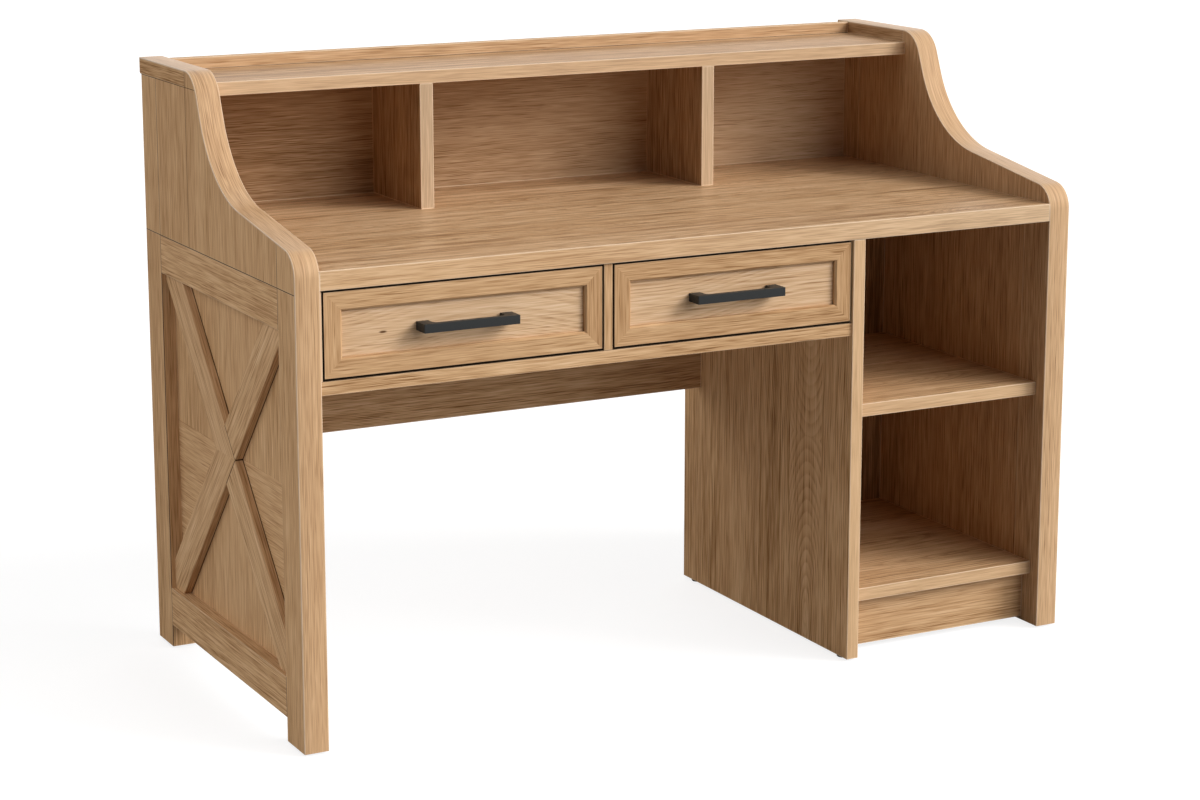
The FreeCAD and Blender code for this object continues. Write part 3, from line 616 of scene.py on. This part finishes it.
# ---- Metal and plastic ----
@dataclass(frozen=True)
class PowderCoat:
    """Matt black powder coat with a fine orange-peel surface."""

    name: str = "black_powder_coat"
    colour: Colour = (0.0160, 0.0168, 0.0168)

    def material(self) -> Material:
        """Writes the material."""
        shader = Shader(self.name)
        place = shader.place()
        peel = shader.noise(place, (1500.0,) * 3, detail=2.0)
        cloud = shader.noise(place, (90.0,) * 3, detail=3.0)
        lighter = tuple(1.5 * part for part in self.colour)
        shader.set(Base_Color=shader.blend(cloud, self.colour, lighter), Specular_IOR_Level=0.25)
        shader.set(Roughness=shader.remap(cloud, 0.3, 0.7, 0.40, 0.54))
        shader.bump(peel, strength=0.28, distance=0.0002)
        return shader.material


@dataclass(frozen=True)
class ZincPlate:
    """Bright zinc plate on steel, drawn along the Y axis."""

    name: str
    colour: Colour = (0.60, 0.61, 0.62)
    drawn: Triple = (900.0, 12.0, 900.0)

    def material(self) -> Material:
        """Writes the material."""
        shader = Shader(self.name)
        place = shader.place()
        lines = shader.noise(place, self.drawn, detail=2.0)
        bloom = shader.noise(place, (60.0,) * 3, detail=3.0)
        darker = tuple(0.72 * part for part in self.colour)
        shader.set(Base_Color=shader.blend(bloom, darker, self.colour), Metallic=1.0)
        shader.set(Roughness=shader.remap(lines, 0.3, 0.7, 0.26, 0.42))
        shader.bump(lines, strength=0.15, distance=0.0001)
        return shader.material


@dataclass(frozen=True)
class GlidePlastic:
    """Black moulded plastic, scuffed where it meets the floor."""

    name: str = "glide_plastic"
    colour: Colour = (0.016, 0.016, 0.017)
    scuffed: Colour = (0.11, 0.105, 0.10)
    scuff_height: float = 0.0012

    def material(self) -> Material:
        """Writes the material."""
        shader = Shader(self.name)
        place = shader.place()
        scuffs = shader.noise(place, (400.0, 60.0, 400.0), detail=3.0)
        low = shader.remap(shader.parts(place)[Z_AXIS], 0.0, self.scuff_height, 1.0, 0.0)
        shader.set(Base_Color=shader.blend(low * scuffs, self.colour, self.scuffed))
        shader.set(Roughness=shader.remap(scuffs, 0.3, 0.7, 0.42, 0.62))
        shader.bump(scuffs, strength=0.12, distance=0.0002)
        return shader.material


# ---- Dressing parts and making meshes ----
def dress(node: str, material: Material) -> None:
    """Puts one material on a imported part."""
    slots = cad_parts[node].material_slots
    if not slots:
        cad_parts[node].data.materials.append(material)
    for slot in slots:
        slot.material = material
    log.info("%s is finished in %s", node, material.name)


def dress_board(
    node: str, finish: OakLaminate, grain: Grain, pair_axis: Optional[int] = None, thickness: float = 0.0
) -> None:
    """Puts a laminate on a packed board, or on a pair that mirror one another."""
    dress(node, finish.material(Stock.of(node, grain, pair_axis, thickness)))


def place_new(name: str, data: bpy.types.ID) -> Piece:
    """Puts a new object in the scene."""
    made = bpy.data.objects.new(name, data)
    bpy.context.scene.collection.objects.link(made)
    return made


def grid_faces(rows: int, columns: int, capped: bool = False) -> list[list[int]]:
    """Quads of a grid whose columns close into a ring, and caps on its first and last row if asked for."""
    row, column = np.meshgrid(np.arange(rows - 1), np.arange(columns), indexing="ij")
    following = (column + 1) % columns
    corners = (row, column), (row, following), (row + 1, following), (row + 1, column)
    faces = np.stack([r * columns + c for r, c in corners], axis=-1).reshape(-1, 4).tolist()
    if capped:
        faces.append(list(range(columns))[::-1])
        faces.append([(rows - 1) * columns + c for c in range(columns)])
    return faces


def new_piece(
    name: str,
    points: np.ndarray,
    faces: Sequence[Sequence[int]],
    material: Material,
    body: str,
    uv: Optional[np.ndarray] = None,
    flat_above: float = 40.0,
) -> Piece:
    """Makes a mesh piece, finishes it and lets it ride on a body.

    Args:
        points: places in the desk's frame, along the last axis of the array.
        faces: corner numbers of each face.
        uv: (n, 2) map coordinates of the points, if the finish follows the surface.
        flat_above: edges sharper than this many degrees stay crisp.
    """
    mesh = bpy.data.meshes.new(name)
    mesh.from_pydata(points.reshape(-1, 3).tolist(), [], faces)
    mesh.update()
    if uv is not None:
        corner_points = np.zeros(len(mesh.loops), dtype=np.int32)
        mesh.loops.foreach_get("vertex_index", corner_points)
        layer = mesh.uv_layers.new(name="along_grain")
        layer.data.foreach_set("uv", uv[corner_points].astype(np.float32).ravel())
    mesh.materials.append(material)
    mesh.polygons.foreach_set("use_smooth", [True] * len(mesh.polygons))
    mesh.set_sharp_from_angle(angle=math.radians(flat_above))
    made = place_new(name, mesh)
    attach(made, body)
    log.info("%s: %d faces, rides on %s", name, len(mesh.polygons), body)
    return made


# ---- Swept edge bands ----
@dataclass
class EdgeBand:
    """The band over the front, the sweep and the top of one end, its grain running along it.

    Depths are from the front face of the ends, heights from the floor. Slopes are from the level.
    """

    mirrored: bool
    inside: float = 0.660  # from the desk's middle
    outside: float = 0.700
    foot: float = 0.004
    desktop_top: float = 0.745
    arm_height: float = 0.025  # of the outline's front corner over the desktop
    top: float = 0.997
    back: float = 0.670
    flat_top_start: float = 0.452
    arm_slope: float = math.radians(8.5)
    shoulder_slope: float = math.radians(68.0)
    nose_radius: float = 0.042
    shoulder_radius: float = 0.055
    shoulder_straight: float = 0.038
    thickness: float = 0.0015
    arris: float = 0.001

    def corners(self) -> tuple[np.ndarray, np.ndarray]:
        """The outline's corners as (depth, height), and the radius of each round between them."""
        run = self.shoulder_radius * math.tan(self.shoulder_slope / 2)
        at_top = self.flat_top_start - run
        arm_z = self.desktop_top + self.arm_height
        slope = math.tan(self.shoulder_slope)
        hollow_y = (at_top * slope - self.top + arm_z) / (slope - math.tan(self.arm_slope))
        slope_length = (at_top - hollow_y) / math.cos(self.shoulder_slope)
        half_turn = (self.shoulder_slope - self.arm_slope) / 2
        sweep = (slope_length - self.shoulder_straight - run) / math.tan(half_turn)
        hollow_z = arm_z + hollow_y * math.tan(self.arm_slope)
        front = [(0.0, self.foot), (0.0, arm_z), (hollow_y, hollow_z)]
        points = front + [(at_top, self.top), (self.back, self.top)]
        return np.array(points), np.array([self.nose_radius, sweep, self.shoulder_radius])

    def path(self, steps: int = 28) -> tuple[np.ndarray, np.ndarray]:
        """The outline as points and inward normals.

        Straight runs join arcs. On an arc of radius r the heading turns evenly, and the point is the arc's
        centre plus r times the heading turned a quarter away from the centre.
        """
        corners, radii = self.corners()
        legs = np.diff(corners, axis=0)
        headings = np.arctan2(legs[:, 1], legs[:, 0])
        points, angles = [corners[:1]], [headings[:1]]
        for index, radius in enumerate(radii):
            entering, leaving = headings[index], headings[index + 1]
            turn = leaving - entering
            back_off = radius * abs(math.tan(turn / 2))
            start = corners[index + 1] - back_off * np.array([math.cos(entering), math.sin(entering)])
            side = math.copysign(1.0, turn)
            centre = start + side * radius * np.array([-math.sin(entering), math.cos(entering)])
            angle = np.linspace(entering, leaving, steps)
            points.append(centre + side * radius * np.stack([np.sin(angle), -np.cos(angle)], axis=1))
            angles.append(angle)
        points.append(corners[-1:])
        angles.append(headings[-1:])
        angle = np.concatenate(angles)
        return np.concatenate(points), np.stack([np.sin(angle), -np.cos(angle)], axis=1)

    def section(self, steps: int = 5) -> tuple[np.ndarray, np.ndarray]:
        """The band's section as places across it and depths under its face, with two rounded arrises."""
        turn = np.linspace(0.0, math.pi / 2, steps)
        rise = self.arris * (1 - np.sin(turn))
        reach = self.arris * (1 - np.cos(turn))
        first, last = self.inside + reach, self.outside - reach[::-1]
        across = np.concatenate([[self.inside], first, last, [self.outside]])
        under = np.concatenate([[self.thickness], rise, rise[::-1], [self.thickness]])
        return across, under

    def build(self, finish: OakLaminate) -> None:
        """Carries the section along the outline and closes both ends."""
        path, normals = self.path()
        across, under = self.section()
        spots = path[:, None, :] + under[None, :, None] * normals[:, None, :]
        rows, columns = spots.shape[:2]
        places = np.broadcast_to(across, (rows, columns))
        points = np.stack([places, spots[..., 0] - DEPTH_SHIFT, spots[..., 1]], axis=-1)
        steps = np.linalg.norm(np.diff(path, axis=0), axis=1)
        along = np.concatenate([[0.0], np.cumsum(steps)])
        uv = np.stack([np.broadcast_to(along[:, None], (rows, columns)), places], axis=-1).reshape(-1, 2)
        faces = grid_faces(rows, columns, capped=True)
        side = "right"
        if self.mirrored:
            side = "left"
            points = points * (-1.0, 1.0, 1.0)
        else:
            faces = [face[::-1] for face in faces]
        strip = Stock(
            middle=(0.0, (self.inside + self.outside) / 2, 0.0),
            half=(ENDLESS, (self.outside - self.inside) / 2, 0.0),
            turn=Grain.ALONG_X.value,
        )
        coat = finish.material(strip)
        piece = new_piece(side + "_swept_band", points, faces, coat, "root", uv, flat_above=35.0)
        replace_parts(piece, side + "_edge_band")


# ---- Ends ----
@dataclass
class FramedEnd:
    """One end: stiles, rails, panel, crossed brace, hutch side and band."""

    side: str
    seed: int
    tone: float = 0.0
    warmth: float = 0.0
    crossing_y: float = 0.334 - DEPTH_SHIFT
    crossing_z: float = 0.397
    brace_slope: float = math.radians(48.02)
    brace_middle: float = 0.685
    brace_half: Triple = (ENDLESS, 0.032, 0.007)  # half an arm's length, width and thickness
    brace_seam_and_shade: float = 0.0022  # reach of the arms' seams and of the painted shade at their foot
    wide: Planks = Planks(width=0.17, start=-0.085)

    def boards(self) -> dict[str, tuple[Grain, OakLaminate]]:
        """The grain and the laminate of each board."""
        up, deep, plain = Grain.ALONG_Z, Grain.ALONG_Y, Figure.PLAIN
        rail_low, rail_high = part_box(self.side + "_top_rail")
        cap_low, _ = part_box(self.side + "_hutch_cap")
        front, back, waist = SeamAndShadeLine(DEEP, rail_low.y), SeamAndShadeLine(DEEP, rail_high.y), SeamAndShadeLine(UP, rail_high.z)
        cap_front, cap_under = SeamAndShadeLine(DEEP, cap_low.y), SeamAndShadeLine(UP, cap_low.z, reach=0.0007)
        cross = (self.crossing_y, self.crossing_z, math.tan(self.brace_slope))
        usual = {
            "gloss": 0.015, "roughness": 0.58, "wear_and_highlight": 0.35, "seams_and_shade_beyond": 0.699,
            "streaks": 0.34, "tone": self.tone, "warmth": self.warmth,
        }

        def board(
            grain: Grain, name: str, number: int, *seams_and_shade: SeamAndShadeLine, **more: object
        ) -> tuple[Grain, OakLaminate]:
            """A board of the end, as usual but for what is named."""
            return grain, OakLaminate(name, seed=self.seed + number, seams_and_shade=seams_and_shade, **{**usual, **more})

        return {
            "front_stile": board(up, "stile", 0, front, waist, tone=self.tone + 0.08),
            "back_stile": board(up, "stile", 1, back, waist),
            "top_rail": board(deep, "rail", 12, front, back, waist, figure=plain),
            "bottom_rail": board(deep, "rail", 3, front, back, figure=plain),
            "end_panel": board(
                up, "panel", 4, figure=plain, planks=self.wide, quartered=cross, contrast=0.9
            ),
            "hutch_front_stile": board(up, "stile", 5, front, waist),
            "hutch_back_stile": board(up, "stile", 6, back, waist, cap_under),
            "hutch_end_panel": board(
                up, "side", 7, front, back, waist, cap_front, cap_under,
                figure=plain, planks=self.wide, contrast=0.85,
            ),
            "hutch_cap": board(deep, "cap", 8, cap_front, cap_under, tone=self.tone - 0.12),
        }

    def dress(self) -> None:
        """Finishes the boards and the arms of the end and builds its band."""
        for part, (grain, laminate) in self.boards().items():
            dress_board(f"{self.side}_{part}", laminate, grain)
        across = self.brace_middle if self.side == "right" else -self.brace_middle
        _, half_width, half_thickness = self.brace_half
        # Along the foot of each arm, where it meets the panel: a seam widened into painted shade in the
        # crease.
        foot = SeamAndShadeLine(ACROSS, across - math.copysign(half_thickness, across), self.brace_seam_and_shade)
        lean = (0.0, -math.sin(self.brace_slope), math.cos(self.brace_slope))
        butt = SeamAndShadeLine(lean, half_width + lean[1] * self.crossing_y, self.brace_seam_and_shade)
        for part, number, slope, seams_and_shade in (
            ("back", 4, self.brace_slope, (foot,)),
            ("front", 5, math.pi - self.brace_slope, (foot, butt)),
        ):
            arms = Stock(
                middle=(across, self.crossing_y, 0.0),
                half=self.brace_half,
                turn=(-slope, 0.0, -math.pi / 2),
                fold_axis=Z_AXIS,
                fold_at=self.crossing_z,
            )
            laminate = OakLaminate("brace", seed=self.seed + number, gloss=0.015, roughness=0.58, seams_and_shade=seams_and_shade)
            dress(f"{self.side}_brace_{part}_arms", laminate.material(arms))
        band = OakLaminate(
            "band", Figure.PLAIN, self.seed + 30, tone=0.01, roughness=0.34, contrast=0.78, gloss=0.42,
            follows_map=True, streaks=0.40,
        )
        EdgeBand(mirrored=self.side == "left").build(band)


# ---- Boards between the ends ----
@dataclass
class Boards:
    """The desktop, the pedestal, the boards round the drawers and the hutch."""

    hutch_divider_thick: float = 0.024
    joined: Planks = Planks(width=0.155, start=-0.0867, joins=0.35)
    narrow: Planks = Planks(width=0.12, start=-0.06)
    broad: Planks = Planks(width=0.19, start=-0.095)
    lone: Planks = Planks(width=0.10, start=-0.187, lone=True)

    def boards(self) -> dict[str, tuple[Grain, OakLaminate]]:
        """The grain and the laminate of every board."""
        level, up = Grain.ALONG_X, Grain.ALONG_Z
        cathedral, swirled, plain = Figure.CATHEDRAL, Figure.SWIRLED, Figure.PLAIN
        desktop, rail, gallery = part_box("desktop"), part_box("drawer_rail"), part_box("gallery_rail")
        # Paler front strips on these boards are painted light of their lit front faces.
        shelf = {"planks": self.narrow, "contrast": 1.1, "front_band": 0.12}
        return {
            "desktop": (level, OakLaminate(
                "desktop", cathedral, 40, tone=0.035, roughness=0.38, planks=self.joined, contrast=1.7,
                # Its front strip pales towards the right as painted light.
                gloss=0.22, front_band=0.10, front_painted_light_rise=0.36,
                # A dark line under its front edge: painted shade that widens the shadow of the gap over the
                # drawers.
                seams_and_shade=(SeamAndShadeLine(UP, desktop[0].z),), seams_and_shade_before=desktop[0].y + SEAM_AND_SHADE_DEPTH,
            )),
            "pedestal_divider": (up, OakLaminate(
                "divider", Figure.ARCHED, 41, tone=0.10, roughness=0.58, planks=self.lone, contrast=1.1,
                gloss=0.015, wear_and_highlight=0.6, warmth=0.06, streaks=0.8, front_band=0.15,
            )),
            # Darkened as painted shade deep in the pedestal.
            "pedestal_back": (up, OakLaminate("pedestal_back", seed=42, tone=-0.36, warmth=-0.14)),
            "middle_shelf": (level, OakLaminate("shelf", cathedral, 43, tone=0.11, **shelf)),
            "bottom_shelf": (level, OakLaminate("shelf", cathedral, 44, tone=0.09, **shelf)),
            "toe_kick": (level, OakLaminate("kick", plain, 45, tone=0.05)),
            "modesty_panel": (level, OakLaminate(
                "modesty_panel", cathedral, 46, tone=0.16, planks=self.narrow, contrast=1.3
            )),
            # The rail, partition and spacer border the drawers' gaps, whose insides get painted shade.
            "drawer_rail": (level, OakLaminate(
                "rail", seed=47, tone=-0.02, wear_and_highlight=0.3, gap_shade=True,
                # A dark line on its top front edge: painted shade in the gap under the drawers.
                seams_and_shade=(SeamAndShadeLine(UP, rail[1].z),), seams_and_shade_before=rail[0].y + SEAM_AND_SHADE_DEPTH,
            )),
            "drawer_partition": (up, OakLaminate("partition", seed=48, wear_and_highlight=0.2, gap_shade=True)),
            "runner_spacer": (up, OakLaminate("spacer", seed=49, gap_shade=True)),
            "hutch_shelf": (level, OakLaminate(
                "hutch_shelf", cathedral, 50, tone=-0.12, roughness=0.42, planks=self.narrow, contrast=1.3,
                gloss=0.2, front_band=0.26, warmth=-0.05,
            )),
            # Darker towards its left end as painted shade in the left cell.
            "hutch_back": (level, OakLaminate(
                "hutch_back", swirled, 51, tone=-0.08, planks=self.broad, contrast=0.62, warmth=-0.28,
                rise=0.40, streaks=0.30,
            )),
            "gallery_rail": (level, OakLaminate(
                "gallery", plain, 52, tone=0.07, warmth=-0.12, contrast=0.75, streaks=0.35,
                seams_and_shade=(SeamAndShadeLine(UP, gallery[0].z),), seams_and_shade_before=gallery[0].y + SEAM_AND_SHADE_DEPTH,
            )),
        }

    def dress(self) -> None:
        """Finishes every board."""
        for node, (grain, laminate) in self.boards().items():
            dress_board(node, laminate, grain)
        # Darkened as painted shade in the cubbies, with a front strip made paler as painted light.
        dividers = OakLaminate(
            "hutch_divider", seed=53, tone=-0.22, warmth=-0.40, front_band=0.33, streaks=0.40
        )
        dress_board("hutch_dividers", dividers, Grain.ALONG_Z, X_AXIS, self.hutch_divider_thick)


# ---- Drawers ----
@dataclass
class BarPull:
    """A square bar pull: a bar bent back at both ends onto two posts."""

    length: float = 0.160
    height: float = 0.014
    bar_front: float = -0.0185
    bar_back: float = -0.0085
    foot: float = 0.0125
    post: float = 0.020
    corner: float = 0.0015
    crook: float = 0.007
    arris: float = 0.0009

    def outline(self, steps: int = 8) -> np.ndarray:
        """The pull seen from above, counter-clockwise, with rounded front corners and crooks.

        Each round swings its radius a quarter turn about a centre set in from both straight runs.
        """
        half, inner = self.length / 2, self.length / 2 - self.post
        quarter = np.linspace(0.0, math.pi / 2, steps)

        def swing(x: float, y: float, radius: float, start: float, way: float) -> np.ndarray:
            """Points on a round about (x, y) from a start angle, one way or the other."""
            angle = start + way * quarter
            return np.stack([x + radius * np.cos(angle), y + radius * np.sin(angle)], axis=1)

        c, k = self.corner, self.crook
        return np.concatenate(
            [
                swing(-half + c, self.bar_front + c, c, math.pi, 1.0),
                swing(half - c, self.bar_front + c, c, -math.pi / 2, 1.0),
                [(half, self.foot), (inner, self.foot)],
                swing(inner - k, self.bar_back + k, k, 0.0, -1.0),
                swing(k - inner, self.bar_back + k, k, -math.pi / 2, -1.0),
                [(-inner, self.foot), (-half, self.foot)],
            ]
        )

    def build(self, name: str, middle: tuple[float, float], body: str, material: Material) -> Piece:
        """Stacks the outline at rising heights, drawn in round both arrises, and caps it.

        A point is drawn in along the mean of its two edges' normals, over one plus their dot product, so
        that both edges move in by the same amount.
        """
        outline = self.outline()
        edges = np.roll(outline, -1, axis=0) - outline
        normals = np.stack([-edges[:, 1], edges[:, 0]], axis=1) / np.linalg.norm(edges, axis=1)[:, None]
        before = np.roll(normals, 1, axis=0)
        drawn = (before + normals) / (1 + (before * normals).sum(axis=1))[:, None]
        turn = np.linspace(0.0, math.pi / 2, 5)
        inset = self.arris * (1 - np.sin(turn))
        rise = self.arris * (1 - np.cos(turn)) - self.height / 2
        insets = np.concatenate([inset, inset[::-1]])
        heights = np.concatenate([rise, -rise[::-1]])
        flat = outline[None] + insets[:, None, None] * drawn[None]
        levels = np.broadcast_to(heights[:, None], flat.shape[:2])
        points = np.stack([flat[..., 0] + middle[0], flat[..., 1] - DEPTH_SHIFT, levels + middle[1]], axis=-1)
        faces = grid_faces(*levels.shape, capped=True)
        return new_piece(name, points, faces, material, body, flat_above=50.0)


@dataclass
class PanScrew:
    """A pan-head screw with a crossed recess, driven from inside the drawer towards the user."""

    head_radius: float = 0.00425
    head_height: float = 0.0026
    dome_drop: float = 0.45  # how much of the head's height the dome falls to its rim
    shank_radius: float = 0.002
    tip: float = -0.0015
    seat: float = 0.0195
    recess_reach: float = 0.0024
    recess_width: float = 0.0005
    recess_depth: float = 0.0014
    wall_slope: float = 0.0002  # how far the sides of the recess lean out
    end_slope: float = 0.0004  # and its ends

    def points(self, x: float, z: float, rings: int = 20, spokes: int = 64) -> np.ndarray:
        """A turned profile from the middle of the head out, down its side and along the shank.

        The head's height falls with the square of the radius, and inside the cross, where the lesser of the
        two offsets is under the slot's half width, it drops by the recess depth.
        """
        out = np.linspace(0.0, 1.0, rings)
        side = [self.head_radius, self.shank_radius, self.shank_radius, 0.0]
        radius = np.concatenate([out * self.head_radius, side])
        dome = self.seat + self.head_height * (1 - self.dome_drop * out**2)
        depth = np.concatenate([dome, [self.seat, self.seat, self.tip, self.tip]])
        angle = np.linspace(0.0, 2 * math.pi, spokes, endpoint=False)
        dx = radius[:, None] * np.cos(angle)
        dz = radius[:, None] * np.sin(angle)
        lesser = np.minimum(np.abs(dx), np.abs(dz))
        slot = np.clip((self.recess_width - lesser) / self.wall_slope + 1.0, 0.0, 1.0)
        inside = np.clip((self.recess_reach - np.hypot(dx, dz)) / self.end_slope, 0.0, 1.0)
        on_head = (np.arange(len(radius)) < rings)[:, None]
        dy = depth[:, None] - self.recess_depth * slot * inside * on_head
        return np.stack([x + dx, dy - DEPTH_SHIFT, z + dz], axis=-1)

    def build(self, name: str, xs: Sequence[float], z: float, body: str, material: Material) -> Piece:
        """Builds the screws of one pull as one piece."""
        grids = np.stack([self.points(x, z) for x in xs])
        _, rows, columns, _ = grids.shape
        faces = []
        for first in range(0, len(xs) * rows * columns, rows * columns):
            faces += [[first + corner for corner in face[::-1]] for face in grid_faces(rows, columns)]
        return new_piece(name, grids, faces, material, body)


@dataclass
class Drawer:
    """One drawer: mitred front, recessed panel, box, pull, screws and runner members."""

    side: str
    seed: int
    knots: tuple[Knot, ...] = ()
    frame_width: float = 0.030
    box_wall: float = 0.012
    pull: BarPull = field(default_factory=BarPull)
    screw: PanScrew = field(default_factory=PanScrew)

    def dress(self, coat: Material, zinc: Material, steel: Material) -> None:
        """Finishes the drawer and builds its pull and screws."""
        name = self.side + "_drawer_"
        body = self.side + "_drawer"
        level, deep, up = Grain.ALONG_X, Grain.ALONG_Y, Grain.ALONG_Z
        low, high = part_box(name + "front_rails")
        # Dark lines on the front's outer arrises and a darkened gap: painted shade in the gaps round the
        # drawer.
        levels, sides = (SeamAndShadeLine(UP, (high.z - low.z) / 2),), (SeamAndShadeLine(ACROSS, (high.x - low.x) / 2),)
        front = {
            "contrast": 0.75, "streaks": 0.35, "tone": -0.04, "wear_and_highlight": 0.2, "gap_shade": True,
            "seams_and_shade_before": low.y + SEAM_AND_SHADE_DEPTH,
        }
        rails = OakLaminate("drawer_rail", Figure.PLAIN, self.seed, seams_and_shade=levels, **front)
        stiles = OakLaminate("drawer_stile", Figure.PLAIN, self.seed + 1, seams_and_shade=sides, **front)
        panel = OakLaminate(
            "drawer_panel", Figure.CATHEDRAL, self.seed + 2, tone=0.27, knots=self.knots, contrast=0.8,
            warmth=-0.15, streaks=0.35,
        )
        dress_board(name + "front_rails", rails, level, Z_AXIS, self.frame_width)
        dress_board(name + "front_stiles", stiles, up, X_AXIS, self.frame_width)
        dress_board(name + "front_panel", panel, level)
        box = {"tone": 0.10, "roughness": 0.55}
        walls = OakLaminate("drawer_side", seed=self.seed + 3, **box)
        dress_board(name + "sides", walls, deep, X_AXIS, self.box_wall)
        dress_board(name + "box_back", OakLaminate("drawer_back", seed=self.seed + 4, **box), level)
        dress_board(name + "box_floor", OakLaminate("drawer_floor", seed=self.seed + 5, **box), deep)
        dress(name + "runner_members", zinc)
        dress(self.side + "_runner_middle_members", zinc)
        low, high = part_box(name + "pull")
        middle = ((low.x + high.x) / 2, (low.z + high.z) / 2)
        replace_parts(self.pull.build(self.side + "_bar_pull", middle, body, coat), name + "pull")
        reach = (self.pull.length - self.pull.post) / 2
        places = (middle[0] - reach, middle[0] + reach)
        screws = self.screw.build(self.side + "_pan_screws", places, middle[1], body, steel)
        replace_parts(screws, name + "pull_screws")


# ---- Studio ----
END_PARTS = (
    "front_stile", "back_stile", "top_rail", "bottom_rail", "end_panel", "brace_back_arms",
    "brace_front_arms", "hutch_front_stile", "hutch_back_stile", "hutch_end_panel", "hutch_cap",
)
LEFT_END = tuple("left_" + part for part in END_PARTS)
WHITE = (1.0, 1.0, 1.0, 1.0)


@dataclass(frozen=True)
class Sun:
    """A soft distant lamp."""

    name: str
    azimuth: float  # degrees from straight ahead of the desk towards its right end
    height: float  # degrees above the level
    strength: float
    width: float  # how wide it looks, in degrees
    shines: bool = False  # whether glossy faces mirror it
    onto: tuple[str, ...] = ()  # the parts it lights, all if none is named
    unblocked: bool = False  # whether only those parts throw shadows in its light

    def light(self) -> None:
        """Adds the lamp, turned so that its back points at where it stands."""
        data = bpy.data.lights.new(self.name, "SUN")
        data.energy = self.strength
        data.angle = math.radians(self.width)
        lamp = place_new(self.name, data)
        lamp.rotation_euler = (math.radians(90.0 - self.height), 0.0, math.radians(self.azimuth))
        lamp.visible_glossy = self.shines
        if self.onto:
            lit = bpy.data.collections.new(self.name + "_lit")
            for node in self.onto:
                lit.objects.link(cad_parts[node])
            lamp.light_linking.receiver_collection = lit
            if self.unblocked:
                lamp.light_linking.blocker_collection = lit


@dataclass
class Studio:
    """Floor, world, lamps and camera."""

    lamps: tuple[Sun, ...] = (
        Sun("key", azimuth=54.0, height=29.0, strength=2.75, width=30.0),
        Sun("overhead", azimuth=30.0, height=58.0, strength=0.58, width=60.0, shines=True),
        Sun("front_fill", azimuth=24.0, height=20.0, strength=1.06, width=40.0),
        Sun("left_fill", azimuth=-110.0, height=22.0, strength=0.85, width=60.0),
        Sun("end_light", azimuth=-60.0, height=28.0, strength=0.73, width=40.0, onto=LEFT_END),
        Sun(
            "kneehole_light", azimuth=-90.0, height=12.0, strength=0.62, width=60.0,
            onto=("pedestal_divider",), unblocked=True,
        ),
        Sun("back_fill", azimuth=165.0, height=24.0, strength=1.15, width=80.0),
    )
    ambient: float = 0.04
    floor_glow: float = 0.82
    floor_half: float = 40.0
    floor_grey: Colour = (0.32, 0.32, 0.32)
    camera_place: Triple = (-2.19663, -3.79488 - DEPTH_SHIFT, 1.51017)
    camera_turn: float = math.radians(27.81)
    camera_tilt: float = math.radians(-11.78)
    lens: float = 84.77
    shift_up: float = -0.06

    def world(self) -> None:
        """A white surround, dimmer where it lights the desk than where it is seen."""
        world = bpy.data.worlds.new("studio")
        bpy.context.scene.world = world
        world.use_nodes = True
        nodes = Nodes(world.node_tree)
        background = nodes.node("ShaderNodeBackground")
        nodes.feed(background.inputs["Color"], WHITE)
        nodes.feed(background.inputs["Strength"], nodes.seen() * (1.0 - self.ambient) + self.ambient)
        nodes.feed(nodes.node("ShaderNodeOutputWorld").inputs["Surface"], background.outputs[0])

    def floor(self) -> None:
        """A pale floor that shows the desk's soft shadow."""
        shader = Shader("pale_floor")
        shader.set(Base_Color=(*self.floor_grey, 1.0), Roughness=0.9, Specular_IOR_Level=0.1)
        shader.set(Emission_Color=WHITE, Emission_Strength=shader.seen() * self.floor_glow)
        low, high = -self.floor_half, self.floor_half
        corners = [(low, low, 0.0), (high, low, 0.0), (high, high, 0.0), (low, high, 0.0)]
        mesh = bpy.data.meshes.new("floor")
        mesh.from_pydata(corners, [], [(0, 1, 2, 3)])
        mesh.materials.append(shader.material)
        floor = place_new("floor", mesh)

    def camera(self) -> None:
        """The camera, turned from +Y towards the right end and tilted down."""
        data = bpy.data.cameras.new("camera")
        data.lens = self.lens
        data.sensor_width = 36.0
        data.shift_y = self.shift_up
        data.clip_end = 200.0
        camera = place_new("camera", data)
        camera.location = self.camera_place
        camera.rotation_euler = (math.pi / 2 + self.camera_tilt, 0.0, -self.camera_turn)
        bpy.context.scene.camera = camera

    def build(self) -> None:
        """Sets up the studio."""
        bpy.context.scene.view_settings.view_transform = "Standard"
        self.world()
        self.floor()
        self.camera()
        for lamp in self.lamps:
            lamp.light()


def main() -> None:
    """Builds and finishes the desk, then the studio."""
    logging.basicConfig(level=logging.INFO, format="%(name)s: %(message)s")
    coat = PowderCoat().material()
    zinc = ZincPlate("zinc_runner").material()
    steel = ZincPlate("zinc_screw", colour=(0.66, 0.65, 0.62), drawn=(300.0, 300.0, 300.0)).material()
    FramedEnd("left", seed=0, tone=-0.01, warmth=0.04).dress()
    # The right end darker and cooler as painted shade on its inner faces.
    FramedEnd("right", seed=60, tone=-0.08, warmth=-0.12).dress()
    Boards().dress()
    knot = Knot((-0.5552, -0.3133, 0.6423), length=0.015, width=0.0045)
    Drawer("left", seed=100, knots=(knot,)).dress(coat, zinc, steel)
    Drawer("right", seed=110).dress(coat, zinc, steel)
    dress("runner_cabinet_members", zinc)
    dress("floor_glides", GlidePlastic().material())
    Studio().build()


if __name__ == "__main__":
    main()
